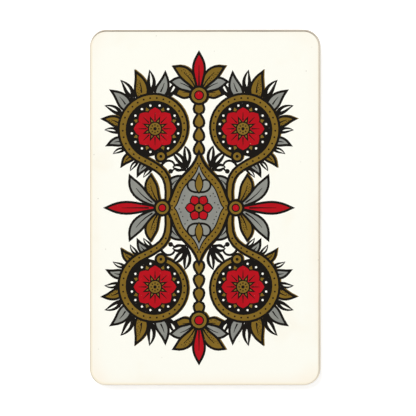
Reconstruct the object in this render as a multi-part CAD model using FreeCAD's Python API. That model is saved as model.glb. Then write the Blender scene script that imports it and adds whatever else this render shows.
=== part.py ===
# A deck of playing cards, knocked square and lying face down on a table.
# Fifty-four loose cards of one die-cut blank: four suits of thirteen and two jokers.
# Millimetres, +Z up, +Y along the cards' long side. The origin is on the table,
# under the middle of the deck.

import FreeCAD, Part
import os
import random

# One card, as it is cut
CARD_WIDTH = 57.0  # along X
CARD_LENGTH = 88.0  # along Y
CARD_THICKNESS = 0.28  # two paper plies and the paste between them
CORNER_RADIUS = 4.0

# How the cards lie on each other
AIR_GAP = 0.02  # held open by the paper's grain, between two cards at rest
TOP_SLACK = 0.1  # the most that a card near the top lies off the squared stack, along X or Y
TABLE_SLACK = 0.5  # the same near the table, where a hand squares the stack less
SKEW_LIMIT_DEG = 0.1  # the most that a card is turned in the stack
TOP_SHIFT_X = -0.08  # the top card lies a little low and left,
TOP_SHIFT_Y = -0.12  # so cards under it show past its top and right edges

SHUFFLE_SEED = 1042  # gives the same scatter every time, with as much of it to each side

QUARTER_TURN_DEG = 90
UP = FreeCAD.Vector(0, 0, 1)

SUITS = ("spades", "hearts", "clubs", "diamonds")
RANKS = (
    "ace", "two", "three", "four", "five", "six", "seven",
    "eight", "nine", "ten", "jack", "queen", "king",
)
JOKERS = ("red_joker", "black_joker")


def deck_order():
    """Names of the cards, from the one on the table to the one on top."""
    suited = [f"{rank}_of_{suit}" for suit in SUITS for rank in RANKS]
    return suited + list(JOKERS)


def card_blank():
    """One card as the die cuts it: a rounded rectangle of board, centred on the Z axis, face on Z = 0."""
    arc_x = CARD_WIDTH / 2 - CORNER_RADIUS
    arc_y = CARD_LENGTH / 2 - CORNER_RADIUS
    arcs = []
    for quarter, (side_x, side_y) in enumerate(((1, 1), (-1, 1), (-1, -1), (1, -1))):
        centre = FreeCAD.Vector(side_x * arc_x, side_y * arc_y, 0)
        start = quarter * QUARTER_TURN_DEG
        arcs.append(Part.makeCircle(CORNER_RADIUS, centre, UP, start, start + QUARTER_TURN_DEG))
    edges = []
    for arc, following in zip(arcs, arcs[1:] + arcs[:1]):
        side = Part.makeLine(arc.valueAt(arc.LastParameter), following.valueAt(following.FirstParameter))
        edges += [arc, side]
    return Part.Face(Part.Wire(edges)).extrude(UP * CARD_THICKNESS)


def lie(place, top, chance):
    """Where the card at this place in the stack lies, counted from 0 on the table."""
    slack = TOP_SLACK + (TABLE_SLACK - TOP_SLACK) * (top - place) / top
    shift_x = slack * chance.uniform(-1, 1)
    shift_y = slack * chance.uniform(-1, 1)
    skew = SKEW_LIMIT_DEG * chance.uniform(-1, 1)
    if place == 0:
        shift_x, shift_y, skew = 0, 0, 0
    elif place == top:
        shift_x, shift_y, skew = TOP_SHIFT_X, TOP_SHIFT_Y, 0
    height = place * (CARD_THICKNESS + AIR_GAP)
    return FreeCAD.Placement(FreeCAD.Vector(shift_x, shift_y, height), FreeCAD.Rotation(UP, skew))


def main():
    """Lays the deck, card by card, and writes each card to a file of its own."""
    os.makedirs("parts", exist_ok=True)
    blank = card_blank()
    names = deck_order()
    chance = random.Random(SHUFFLE_SEED)
    for place, name in enumerate(names):
        card = blank.copy()
        card.Placement = lie(place, len(names) - 1, chance)
        card.exportStep(f"parts/{name}.step")


main()
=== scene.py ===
"""A squared deck of playing cards on a white table, seen from straight above.

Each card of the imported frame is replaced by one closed, printed mesh: a back with a four-colour
scroll ornament, a face with its pips, and the rolled, cut edge between them. The prints are flat
shapes laid over each other in ink order and then cut into one sheet of triangles, so that every
edge of every colour is a real edge of the mesh. Flat sizes are in millimetres, meshes in metres.
"""
import logging
import math
from collections.abc import Iterable, Sequence
from dataclasses import dataclass, field
from enum import Enum
from functools import partial

import bpy
import numpy as np
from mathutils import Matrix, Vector
from mathutils.geometry import delaunay_2d_cdt, interpolate_bezier


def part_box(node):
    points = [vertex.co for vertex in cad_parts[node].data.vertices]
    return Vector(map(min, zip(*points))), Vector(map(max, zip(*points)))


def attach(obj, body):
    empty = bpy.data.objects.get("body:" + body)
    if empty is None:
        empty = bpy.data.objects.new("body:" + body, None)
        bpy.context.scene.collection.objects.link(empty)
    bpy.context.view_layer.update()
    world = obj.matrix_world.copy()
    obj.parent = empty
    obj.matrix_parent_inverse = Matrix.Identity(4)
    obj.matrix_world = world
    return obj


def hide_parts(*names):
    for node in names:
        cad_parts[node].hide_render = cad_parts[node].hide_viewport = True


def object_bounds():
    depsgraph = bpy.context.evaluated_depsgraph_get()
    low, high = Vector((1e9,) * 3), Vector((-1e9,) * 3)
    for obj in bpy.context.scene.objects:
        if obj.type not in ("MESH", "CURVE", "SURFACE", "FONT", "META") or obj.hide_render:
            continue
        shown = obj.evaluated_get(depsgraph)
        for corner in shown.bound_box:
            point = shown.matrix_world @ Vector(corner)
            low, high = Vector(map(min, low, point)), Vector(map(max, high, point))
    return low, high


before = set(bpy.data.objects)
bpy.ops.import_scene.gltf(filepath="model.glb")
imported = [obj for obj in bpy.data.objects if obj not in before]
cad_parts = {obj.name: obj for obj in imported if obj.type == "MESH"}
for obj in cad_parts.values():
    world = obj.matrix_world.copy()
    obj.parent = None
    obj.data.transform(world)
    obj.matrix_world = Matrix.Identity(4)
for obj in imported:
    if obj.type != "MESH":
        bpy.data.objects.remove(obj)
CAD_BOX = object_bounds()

LOG = logging.getLogger("deck")
MM = 0.001  # metres in a millimetre
MERGE_MM = 0.004  # points of a print that lie closer than this are one point
CORNER_SIDES = 10  # sides of a card's rounded corner
DOT_SIDES = 6  # sides of a printed dot
STUD_SIDES = 8  # sides of a small printed disc
GLYPH_STEPS = 5  # points on each curve of a letter
SHEEN_LEVEL = 0.05  # specular level of the dull varnish
STRAIGHT_MM = 0.012  # a point that lies closer than this to a straight run isn't needed
Outline = np.ndarray  # the points of a flat shape or path, one row of X and Y each, in millimetres
Point = Sequence[float]
Pair = tuple[float, float]
Socket = bpy.types.NodeSocket


class Ink(Enum):
    """What a patch of a card shows. The value is its place among a card's materials."""

    STOCK = 0
    BLACK = 1
    GOLD = 2
    GREY = 3
    RED = 4
    EDGE = 5


Inks = dict[Ink, bpy.types.Material]


class Repeat(Enum):
    """How a shape is repeated about the middle of a print, as the signs of X and Y of each copy."""

    ONCE = ((1, 1),)
    LEFT_RIGHT = ((1, 1), (-1, 1))
    TOP_BOTTOM = ((1, 1), (1, -1))
    QUARTERS = ((1, 1), (-1, 1), (-1, -1), (1, -1))
    HALF_TURN = ((1, 1), (-1, -1))


def disc(centre: Point, radius: float, sides: int = 16) -> Outline:
    """A round outline of that many sides."""
    turn = np.arange(sides) * (2 * np.pi / sides)
    return np.asarray(centre) + radius * np.column_stack((np.cos(turn), np.sin(turn)))


def bezier(corners: Sequence[Point], steps: int) -> Outline:
    """Points along a cubic curve.

    Args:
        corners: Its four control points.
        steps: Number of points.

    Returns:
        The points.
    """
    a, b, c, d = np.asarray(corners, float)
    t = np.linspace(0, 1, steps)[:, None]
    s = 1 - t
    return a * s**3 + 3 * b * t * s**2 + 3 * c * t**2 * s + d * t**3


def spiral(centre: Point, radii: Pair, degrees: Pair, steps: int) -> Outline:
    """Points along a spiral.

    Args:
        centre: Its middle.
        radii: First and last radius.
        degrees: First and last angle.
        steps: Number of points.

    Returns:
        The points.
    """
    turn = np.radians(np.linspace(*degrees, steps))
    reach = np.linspace(*radii, steps)[:, None]
    return np.asarray(centre) + reach * np.column_stack((np.cos(turn), np.sin(turn)))


def curl(
    start: Point, heading: float, length: float, turn: float, gather: float = 1.0, steps: int = 8
) -> Outline:
    """Points along a path that bends as it goes.

    Args:
        start: Where the path starts.
        heading: Its first direction, in degrees from +X.
        length: Its length.
        turn: Degrees that it turns in all, to the left where positive.
        gather: Over 1 where the path bends ever tighter towards its end.
        steps: Number of points.

    Returns:
        The points of the path.
    """
    middles = (np.arange(steps - 1) + 0.5) / (steps - 1)
    way = np.radians(heading + turn * middles**gather)
    runs = np.column_stack((np.cos(way), np.sin(way))) * (length / (steps - 1))
    return np.asarray(start) + np.vstack(((0, 0), np.cumsum(runs, axis=0)))


def swell(steps: int, fullest: float) -> np.ndarray:
    """A leaf's half widths, from 0 to 1 and back to 0, widest at that share of its length."""
    return np.sin(np.pi * np.linspace(0, 1, steps) ** (math.log(0.5) / math.log(fullest)))


def ribbon(path: Outline, half_widths: np.ndarray) -> Outline:
    """The outline of a band along a path.

    Args:
        path: Its middle line.
        half_widths: Half of its width at each point. An end with no width is a point.

    Returns:
        The outline.
    """
    tangent = np.gradient(path, axis=0)
    tangent /= np.linalg.norm(tangent, axis=1)[:, None]
    side = np.column_stack((-tangent[:, 1], tangent[:, 0])) * half_widths[:, None]
    back = (path + side)[::-1]
    first = 1 if half_widths[-1] < MERGE_MM else 0
    last = len(path) - (1 if half_widths[0] < MERGE_MM else 0)
    return np.vstack((path - side, back[first:last]))


def leaf(path: Outline, half_width: float, fullest: float = 0.4) -> Outline:
    """A leaf or petal along a path, pointed at both ends."""
    return ribbon(path, half_width * swell(len(path), fullest))


def line(path: Outline, half_width: float, end_share: float = 0.3) -> Outline:
    """A drawn line along a path, which thins towards its end."""
    return ribbon(path, half_width * np.linspace(1, end_share, len(path)))


def counter_clockwise(outline: Outline) -> Outline:
    """Turns an outline round if it runs clockwise.

    Args:
        outline: A closed outline.

    Returns:
        The same outline, or a reversed view of it.
    """
    x, y = outline.T
    area = np.dot(x, np.roll(y, -1)) - np.dot(y, np.roll(x, -1))
    return outline if area > 0 else outline[::-1]


def grow(outline: Outline, by: float, blunt: float = 0.35) -> Outline:
    """The outline, set outwards all round.

    Args:
        outline: A closed outline.
        by: How far each side moves, inwards where negative.
        blunt: Keeps the point of a sharp corner short. A larger value keeps it shorter.

    Returns:
        The new outline, counter-clockwise.
    """
    outline = counter_clockwise(outline)
    run = np.roll(outline, -1, axis=0) - outline
    run /= np.maximum(np.linalg.norm(run, axis=1), 1e-9)[:, None]
    after = np.column_stack((run[:, 1], -run[:, 0]))
    before = np.roll(after, 1, axis=0)
    spread = np.maximum(1 + (before * after).sum(1), blunt)[:, None]
    return outline + by * (before + after) / spread


def along(path: Outline, share: float) -> tuple[np.ndarray, float]:
    """A place on a path.

    Args:
        path: The path.
        share: How far along it, as a share of its length.

    Returns:
        The point, and the path's heading there in degrees.
    """
    runs = np.diff(path, axis=0)
    lengths = np.linalg.norm(runs, axis=1)
    ends = np.cumsum(lengths)
    place = share * ends[-1]
    step = min(int(np.searchsorted(ends, place)), len(runs) - 1)
    point = path[step + 1] - runs[step] * (ends[step] - place) / lengths[step]
    return point, math.degrees(math.atan2(runs[step, 1], runs[step, 0]))


def inside(points: np.ndarray, outline: Outline) -> np.ndarray:
    """Which points an outline goes round.

    Args:
        points: The points.
        outline: The outline.

    Returns:
        A truth value for each point.
    """
    x, y = points[:, :1], points[:, 1:]
    start, end = outline, np.roll(outline, -1, axis=0)
    run = end - start
    left = run[:, 0] * (y - start[:, 1]) - run[:, 1] * (x - start[:, 0])
    rises = (start[:, 1] <= y) & (end[:, 1] > y) & (left > 0)
    falls = (start[:, 1] > y) & (end[:, 1] <= y) & (left < 0)
    return rises.sum(axis=1) != falls.sum(axis=1)


def rounded_rectangle(half_x: float, half_y: float, radius: float, steps: int) -> Outline:
    """A rectangle with round corners.

    Args:
        half_x: Half of its width.
        half_y: Half of its height.
        radius: Radius of its corners.
        steps: Number of sides of a corner.

    Returns:
        The outline.
    """
    quarter = np.radians(np.linspace(0, 90, steps + 1))
    arc = radius * np.column_stack((np.cos(quarter), np.sin(quarter)))
    first = arc + (half_x - radius, half_y - radius)
    upper = np.vstack((first, first[::-1] * (-1, 1)))
    return np.vstack((upper, -upper))


@dataclass
class Partition:
    """A printed side, cut into triangles that each show one ink."""

    points: np.ndarray  # the points, in millimetres
    triangles: np.ndarray  # three point numbers each, counter-clockwise
    inks: np.ndarray  # the ink value of each triangle
    rim: np.ndarray  # the point numbers of the side's rim, in the rim's order


@dataclass(kw_only=True)
class PrintSheet:
    """One printed side of a card: flat inked shapes, each laid over those before it."""

    rim: Outline  # the outline of the flat side
    inks: Inks  # the material of each ink
    shift: Pair = (0.0, 0.0)  # how far the print lies off the middle of the card
    shapes: list[tuple[Outline, Ink]] = field(default_factory=list)  # the shapes laid so far
    # What shows of a colour past its black border, under all the shapes
    fringes: list[tuple[Outline, Ink]] = field(default_factory=list)

    SLIPS = {Ink.GOLD: (0.24, 0.1)}  # how far a colour's plate has slipped against the black one

    def draw(self) -> None:
        """Lays the sheet's shapes, from the lowest to the topmost."""
        raise NotImplementedError

    def lay(self, outlines: Iterable[Outline], ink: Ink, repeat: Repeat = Repeat.ONCE) -> None:
        """Lays shapes of one ink, with their mirrored copies.

        Args:
            outlines: The shapes.
            ink: Their ink.
            repeat: How each is repeated.
        """
        for outline in outlines:
            for signs in repeat.value:
                self.shapes.append((counter_clockwise(outline * signs + self.shift), ink))

    def bordered(
        self, outlines: Iterable[Outline], fill: Ink, border: float, repeat: Repeat = Repeat.ONCE
    ) -> None:
        """Lays shapes of one ink on a black border, with their mirrored copies.

        Args:
            outlines: The shapes.
            fill: Their ink.
            border: Width of the border.
            repeat: How each is repeated.
        """
        outlines = list(outlines)
        first = len(self.shapes)
        self.lay([grow(outline, border) for outline in outlines], Ink.BLACK, repeat)
        if fill in self.SLIPS:
            self.fringes += [(edge + self.SLIPS[fill], fill) for edge, _ in self.shapes[first:]]
        self.lay(outlines, fill, repeat)

    def partition(self) -> Partition:
        """Draws the sheet, and cuts it into triangles of the ink that lies on top.

        The first cut has an edge wherever any shape has one. The second keeps only the edges
        between two inks, so that nothing is left of what other shapes cover.

        Returns:
            The cut sheet.
        """
        self.draw()
        outlines = [self.rim] + [outline for outline, _ in self.fringes + self.shapes]
        lengths = np.array([len(outline) for outline in outlines])
        ends = np.cumsum(lengths)
        here = np.arange(ends[-1])
        there = here + 1
        there[ends - 1] = ends - lengths
        points, triangles = self.cut(np.vstack(outlines), np.column_stack((here, there)))
        shown = self.inks_at(points[triangles].mean(axis=1))
        fixed = set(self.rim_of(points).tolist())
        edges = self.straightened(points, self.boundaries(triangles, shown), fixed)
        used, renumbered = np.unique(edges, return_inverse=True)
        points, triangles = self.cut(points[used], renumbered.reshape(-1, 2))
        inks = self.inks_at(points[triangles].mean(axis=1))
        return Partition(points, triangles, inks, self.rim_of(points))

    def rim_of(self, points: np.ndarray) -> np.ndarray:
        """The numbers of the points that lie on the rim, in its order."""
        return np.linalg.norm(points[None] - self.rim[:, None], axis=2).argmin(axis=1)

    def inks_at(self, places: np.ndarray) -> np.ndarray:
        """Finds the ink that lies on top.

        Args:
            places: Points of the sheet.

        Returns:
            The ink's value at each point.
        """
        shown = np.full(len(places), Ink.STOCK.value)
        for outline, ink in self.fringes + self.shapes:
            boxed = (places > outline.min(axis=0)) & (places < outline.max(axis=0))
            near = np.flatnonzero(boxed.all(axis=1))
            shown[near[inside(places[near], outline)]] = ink.value
        return shown

    @staticmethod
    def boundaries(triangles: np.ndarray, shown: np.ndarray) -> np.ndarray:
        """The edges between two inks, and those of the rim.

        Args:
            triangles: Three point numbers each.
            shown: The ink value of each triangle.

        Returns:
            Pairs of point numbers.
        """
        sides = np.sort(triangles[:, [0, 1, 1, 2, 2, 0]].reshape(-1, 2), axis=1)
        pairs, edge, uses = np.unique(sides, axis=0, return_inverse=True, return_counts=True)
        least = np.full(len(pairs), len(Ink))
        most = np.full(len(pairs), -1)
        np.minimum.at(least, edge.ravel(), np.repeat(shown, 3))
        np.maximum.at(most, edge.ravel(), np.repeat(shown, 3))
        return pairs[(uses == 1) | (least < most)]

    @staticmethod
    def straightened(points: np.ndarray, edges: np.ndarray, fixed: set[int]) -> np.ndarray:
        """Leaves out points that lie on a straight stretch of an edge.

        Args:
            points: The points.
            edges: Pairs of point numbers.
            fixed: Point numbers that stay.

        Returns:
            The edges that are left.
        """
        linked: dict[int, set[int]] = {}
        for a, b in edges.tolist():
            linked.setdefault(a, set()).add(b)
            linked.setdefault(b, set()).add(a)
        for point, ends in linked.items():
            if len(ends) != 2 or point in fixed:
                continue
            a, b = ends
            run = points[b] - points[a]
            from_a = points[point] - points[a]
            bulge = abs(run[0] * from_a[1] - run[1] * from_a[0]) / max(np.hypot(*run), MERGE_MM)
            if bulge < STRAIGHT_MM and 0 < run @ from_a < run @ run and b not in linked[a]:
                linked[a].symmetric_difference_update((point, b))
                linked[b].symmetric_difference_update((point, a))
                ends.clear()
        return np.array([(a, b) for a, ends in linked.items() for b in ends if a < b])

    @staticmethod
    def cut(points: np.ndarray, edges: np.ndarray) -> tuple[np.ndarray, np.ndarray]:
        """Triangulates points so that every given edge is kept.

        Args:
            points: The points to join.
            edges: Pairs of point numbers.

        Returns:
            The new points and the triangles, as three point numbers each.
        """
        flat = [Vector(point) for point in points]
        found, _, triangles, _, _, _ = delaunay_2d_cdt(flat, edges.tolist(), [], 0, MERGE_MM, False)
        return np.array(found), np.array(triangles)


def add_node(
    tree: bpy.types.NodeTree, kind: str, inputs: dict[int | str, object] | None = None, **settings: object
) -> bpy.types.NodeOutputs:
    """Adds a node to a tree.

    Args:
        tree: The tree to add to.
        kind: The node's type.
        inputs: Values, or output sockets to link from, by the input's number or name.
        settings: The node's own settings.

    Returns:
        The new node's outputs.
    """
    node = tree.nodes.new(kind)
    for name, value in settings.items():
        setattr(node, name, value)
    for key, value in (inputs or {}).items():
        if isinstance(value, Socket):
            tree.links.new(value, node.inputs[key])
        else:
            node.inputs[key].default_value = value
    return node.outputs


def flat_mesh(name: str, outlines: Iterable[Outline]) -> bpy.types.Mesh:
    """A mesh with one flat face for each outline, at height 0.

    Args:
        name: The mesh's name.
        outlines: The outlines.

    Returns:
        The mesh.
    """
    mesh = bpy.data.meshes.new(name)
    outlines = list(outlines)
    ends = np.cumsum([len(outline) for outline in outlines])
    faces = [list(range(end - len(outline), end)) for end, outline in zip(ends, outlines)]
    mesh.from_pydata(np.pad(np.vstack(outlines), ((0, 0), (0, 1))).tolist(), [], faces)
    return mesh


class MotifRule:
    """A node tree that repeats flat motifs, run on a motif to give the outlines of all its copies.

    Attributes:
        tree: The tree.
        add: Adds a node to it.
        given: The tree's inputs, as sockets to link from.
    """

    INPUTS: dict[str, str] = {}  # the tree's inputs besides the geometry, each with its socket type

    def __init__(self) -> None:
        """Makes the tree with its inputs, and has the rule fill it."""
        self.tree = bpy.data.node_groups.new(type(self).__name__, "GeometryNodeTree")
        self.add = partial(add_node, self.tree)
        face = self.tree.interface
        face.new_socket("Geometry", in_out="INPUT", socket_type="NodeSocketGeometry")
        face.new_socket("Geometry", in_out="OUTPUT", socket_type="NodeSocketGeometry")
        for name, kind in {**self.INPUTS, "Ink": "Material"}.items():
            face.new_socket(name, in_out="INPUT", socket_type=f"NodeSocket{kind}")
        self.given = self.add("NodeGroupInput")
        real = self.add("GeometryNodeRealizeInstances", {0: self.instances()})
        inked = self.add("GeometryNodeSetMaterial", {"Geometry": real[0], "Material": self.given["Ink"]})
        self.add("NodeGroupOutput", {0: inked[0]})

    def instances(self) -> Socket:
        """Adds the nodes that place the copies, and gives their output."""
        raise NotImplementedError

    def run(self, motif: bpy.types.ID, ink: bpy.types.Material, **values: object) -> list[Outline]:
        """Runs the tree on a mesh or curve.

        Args:
            motif: The mesh or curve that the tree starts from, which is used up.
            ink: The material of the copies.
            values: The tree's other inputs, by name, with _ for a space.

        Returns:
            The outline of each face of the result.
        """
        carrier = bpy.data.objects.new("motif", motif)
        bpy.context.scene.collection.objects.link(carrier)
        modifier = carrier.modifiers.new("rule", "NODES")
        modifier.node_group = self.tree
        named = {"Ink": ink} | {name.replace("_", " "): value for name, value in values.items()}
        for item in self.tree.interface.items_tree:
            if item.in_out == "INPUT" and item.name in named:
                modifier[item.identifier] = named[item.name]
        evaluated = carrier.evaluated_get(bpy.context.evaluated_depsgraph_get())
        mesh = bpy.data.meshes.new_from_object(evaluated)
        places = np.array([vertex.co[:2] for vertex in mesh.vertices])
        outlines = [places[list(face.vertices)] for face in mesh.polygons]
        carrier.modifiers.remove(modifier)
        bpy.data.objects.remove(carrier)
        bpy.data.meshes.remove(mesh)
        return outlines


class RingRule(MotifRule):
    """Copies of a motif round a circle. The motif's +Y points outwards."""

    INPUTS = {"Count": "Int", "Radius": "Float", "First Angle": "Float"}

    def instances(self) -> Socket:
        """Adds a circle of points, turns it and stands the motif on each point.

        Returns:
            The copies.
        """
        ring = self.add(
            "GeometryNodeMeshCircle", {"Vertices": self.given["Count"], "Radius": self.given["Radius"]}
        )
        angle = self.add("ShaderNodeCombineXYZ", {"Z": self.given["First Angle"]})
        turned = self.add("GeometryNodeTransform", {"Geometry": ring[0], "Rotation": angle[0]})
        place = self.add("GeometryNodeInputPosition")
        outwards = self.add(
            "FunctionNodeAlignRotationToVector", {"Vector": place[0]}, axis="Y", pivot_axis="Z"
        )
        return self.add(
            "GeometryNodeInstanceOnPoints",
            {"Points": turned[0], "Instance": self.given["Geometry"], "Rotation": outwards[0]},
        )[0]


class RowRule(MotifRule):
    """Copies of a motif along a path. The motif's +Y points along the path."""

    INPUTS = {"Path": "Object", "Count": "Int"}

    def instances(self) -> Socket:
        """Adds evenly spaced points along the path, and a motif on each.

        Returns:
            The copies.
        """
        path = self.add("GeometryNodeObjectInfo", {"Object": self.given["Path"]})
        points = self.add(
            "GeometryNodeCurveToPoints",
            {"Curve": path["Geometry"], "Count": self.given["Count"]},
            mode="COUNT",
        )
        forwards = self.add(
            "FunctionNodeAlignRotationToVector", {"Vector": points["Tangent"]}, axis="Y", pivot_axis="Z"
        )
        return self.add(
            "GeometryNodeInstanceOnPoints",
            {"Points": points["Points"], "Instance": self.given["Geometry"], "Rotation": forwards[0]},
        )[0]


class StippleRule(MotifRule):
    """Small dots scattered over a flat field, no two closer than the spacing."""

    INPUTS = {"Spacing": "Float", "Dot Radius": "Float", "Seed": "Int"}
    CROWDING = 20.0  # tries per square millimetre, of which the spacing keeps what fits

    def instances(self) -> Socket:
        """Adds the scattered points and a dot on each.

        Returns:
            The dots.
        """
        points = self.add(
            "GeometryNodeDistributePointsOnFaces",
            {
                "Mesh": self.given["Geometry"],
                "Distance Min": self.given["Spacing"],
                "Density Max": self.CROWDING,
                "Seed": self.given["Seed"],
            },
            distribute_method="POISSON",
        )
        dot = self.add(
            "GeometryNodeMeshCircle",
            {"Vertices": DOT_SIDES, "Radius": self.given["Dot Radius"]},
            fill_type="NGON",
        )
        return self.add("GeometryNodeInstanceOnPoints", {"Points": points["Points"], "Instance": dot[0]})[0]


@dataclass(frozen=True)
class LeafRow:
    """A row of leaves along a stem, which are longest at its crown."""

    count: int  # number of leaves
    shares: Pair  # where the first and the last leave the stem, as shares of its length
    lengths: Pair  # length of the shortest and of the longest
    inks: tuple[Ink, ...]  # their colours, in turn
    width_share: float = 0.19  # half of a leaf's width, as a share of its length
    lean: float = -58.0  # degrees from the stem's heading, to the left where positive
    turn: float = -38.0  # degrees that a leaf curls over its length, to the left where positive
    gather: float = 1.3  # over 1 where it curls more towards its tip
    steps: int = 11  # number of points of its middle line
    crown_share: float = 0.56  # where they are longest, as a share of the stem's length
    crown_spread_share: float = 0.14  # how far from there the row gets short, as a share of that length

    def leaves(self, stem: Outline) -> Iterable[tuple[Outline, float, Ink]]:
        """The leaves of the row, from the last to the first.

        Args:
            stem: The stem's middle line.

        Returns:
            The middle line, half width and colour of each leaf.
        """
        short, long = self.lengths
        for place, share in reversed(list(enumerate(np.linspace(*self.shares, self.count)))):
            start, heading = along(stem, share)
            crown = math.exp(-(((share - self.crown_share) / self.crown_spread_share) ** 2))
            length = short + (long - short) * crown
            path = curl(start, heading + self.lean, length, self.turn, self.gather, self.steps)
            yield path, self.width_share * length, self.inks[place % len(self.inks)]


@dataclass(kw_only=True)
class BackOrnament(PrintSheet):
    """The back's print: four scrolls round rosettes, a lozenge, and fans at the four ends.

    What is drawn lies in the upper right quarter or on an axis, and the sheet mirrors it.
    """

    border: float = 0.6  # width of the black border of each shape
    fine_border: float = 0.3  # the same of small shapes
    vein: float = 0.2  # half width of a leaf's vein
    slit_share: float = 0.25  # half width of a black leaf's white slit, as a share of the leaf's
    shade_spacing: float = 0.46  # least distance between the dots that shade a leaf
    shade_dot: float = 0.13  # radius of such a dot
    shade_share: float = 0.85  # how far to the leaf's edge they reach
    eye: Pair = (10.9, 19.6)  # middle of the scroll
    scroll_radii: Pair = (8.3, 7.0)  # first and last radius of the scroll
    scroll_degrees: Pair = (-70.0, 258.0)  # first and last angle of the scroll
    root: Pair = (7.7, 1.4)  # where its stem starts, beside the lozenge
    lead: Pair = (-0.7, 6.8)  # how the stem leaves its root
    run_in: float = 5.5  # how far before the scroll the stem heads along it
    stem_half: Pair = (0.35, 0.4)  # half width of the stem's ends, and how much it swells between them
    knob: float = 1.0  # radius of the disc on the stem's end
    knob_eye: float = 0.4  # radius of the dot in it
    bead: float = 0.25  # radius of the beads along the stem
    curl_share: float = 0.15  # where a curl leaves the stem, as a share of the stem's length
    curl_half: float = 0.36  # half width of the curl where it starts
    curl_thin_share: float = 0.6  # what it thins to
    curl_ball: float = 0.6  # radius of the ball on its end
    ring_gap: float = 0.55  # distance from a rosette's petals to the ring of white dots
    ring_dot: float = 0.3  # radius of these dots
    rosette_radius: float = 5.3  # how far a rosette's petals reach
    core: float = 1.5  # radius of a rosette's middle
    # Radius of the ring of dots in it, of a dot, and of the middle one
    core_dots: tuple[float, float, float] = (0.95, 0.2, 0.42)
    petal_half: float = 1.62  # half width of a rosette's petals
    sepal_start: float = 1.6  # where the sepals start, from the middle
    sepal_tip: float = 0.4  # how far their tips reach past the petals
    sepal_half: float = 0.9  # half width of the sepals
    # Start, length and half width of a petal's vein
    petal_vein: tuple[float, float, float] = (0.6, 2.0, 0.17)
    spray_root: Pair = (3.0, 9.0)  # where the black leaves on the lozenge's shoulder start
    spray_half: float = 1.05  # half width of these leaves
    fan_root: float = 27.9  # height at which the upper fan starts
    fan_boss: Pair = (1.9, 0.95)  # radii of the disc on its root and of the red one in it
    fan_step: float = 23.0  # degrees from one of its petals to the next
    side_root: float = 9.1  # distance at which the right-hand fan starts
    side_boss: Pair = (1.6, 0.75)  # radii of the discs on its root
    side_step: float = 26.0  # degrees from one of its petals to the next
    fan_half: float = 1.15  # half width of a fan's petals
    husk_ends: Pair = (14.7, 24.9)  # heights of the lowest and the highest husk
    husk_half: float = 1.0  # half width of a husk
    lozenge_tips: Pair = (8.0, 13.2)  # how far the lozenge reaches along X and Y
    lozenge_waist: Pair = (5.0, 6.2)  # where the two curves of its outline meet
    lozenge_border: float = 0.7  # width of its black border
    rail_bead: float = 0.22  # radius of the beads along its border
    stud: Pair = (0.17, 0.85)  # radius and least distance of the dots on its field
    bud_half: float = 0.8  # half width of the bud above its flower
    volute_half: float = 0.27  # half width of the volutes beside the bud
    volute_thin_share: float = 0.8  # what they thin to
    volute_ball: float = 0.45  # radius of the ball on a volute's end
    flower_start: float = 0.7  # where the flower's petals start, from the middle
    flower_half: float = 1.0  # half width of these petals
    flower_core: Pair = (0.95, 0.35)  # radius of the flower's middle, and of the dot in it
    ring: RingRule = field(default_factory=RingRule)  # the rule for copies round a circle
    row: RowRule = field(default_factory=RowRule)  # the rule for copies along a path
    stipple: StippleRule = field(default_factory=StippleRule)  # the rule for scattered dots

    COIL_STEPS = 34  # points along the scroll
    LEAD_STEPS = 8  # points along the stem before it
    LOZENGE_STEPS = 7  # points along each curve of the lozenge
    RAIL_STEPS = 24  # points along the beaded part of a quarter of it
    STEM_SWELL_POWER = 0.8  # under 1 where the stem is widest before its middle
    SHADE_SEED = 3
    STUD_SEED = 7
    RING_DOTS = 16
    PETALS = 8  # of a rosette
    FLOWER_PETALS = 6
    STEM_BEADS = 28
    RAIL_BEADS = 11  # on a quarter of the lozenge
    HUSKS = 4
    # Leaves of a stem: black ones, coloured ones laid over them, and one on its inner side
    DARK = LeafRow(8, (0.175, 0.665), (4.2, 7.5), (Ink.BLACK,), width_share=0.16)
    BRIGHT = LeafRow(7, (0.21, 0.63), (3.5, 6.8), (Ink.GREY, Ink.GOLD))
    INNER = LeafRow(1, (0.05, 0.05), (5.0, 5.0), (Ink.GREY,), lean=30.0, turn=50.0)
    # Paths, as heading, length, turn, gather and steps. The curl's heading is from the stem's
    CURL = (60, 7.5, 250, 1.5, 16)
    SPRAY = ((98, 6.6, -30, 1.3, 11), (68, 6.2, -35, 1.3, 11), (34, 3.9, -40, 1.3, 11))
    HUSK = (90, 3.2, 0, 1.0, 7)
    BUD = (90, 4.4, 0, 1.0, 11)
    VOLUTE = (-4, 6.6, 235, 1.5, 14)
    FLOWER_PETAL = (90, 2.5, 0, 1.0, 7)
    # A fan's petals from the middle one outwards, as length and ink. All bend alike
    UPPER_FAN = ((10.0, Ink.RED), (9.2, Ink.GOLD), (7.6, Ink.GREY), (5.6, Ink.GOLD))
    SIDE_FAN = ((13.4, Ink.RED), (11.0, Ink.GREY), (8.4, Ink.GOLD))
    FAN_BEND = (45, 1.6, 13)
    # Where a shape is widest, as a share of its length
    SPRAY_FULLEST = 0.6
    DARK_FULLEST = 0.5
    PETAL_FULLEST = 0.62
    SEPAL_FULLEST = 0.5
    FAN_FULLEST = 0.66
    HUSK_FULLEST = 0.35
    BUD_FULLEST = 0.45
    FLOWER_FULLEST = 0.6
    # Sizes of outlines inside the lozenge's, as shares along X and Y
    FIELD_SHARES = (0.74, 0.78)
    RAIL_SHARES = (0.885, 0.9)
    STUDDED_SHARES = (0.66, 0.7)
    # Stretch of a quarter of the rail that has beads, as shares of its length
    BEADED_SHARES = (0.045, 0.93)
    # Inner control points of the two curves of the lozenge's outline
    LOZENGE_CURVES = (((6.6, 1.4), (6.4, 4.0)), ((3.6, 8.4), (1.0, 9.6)))
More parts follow.
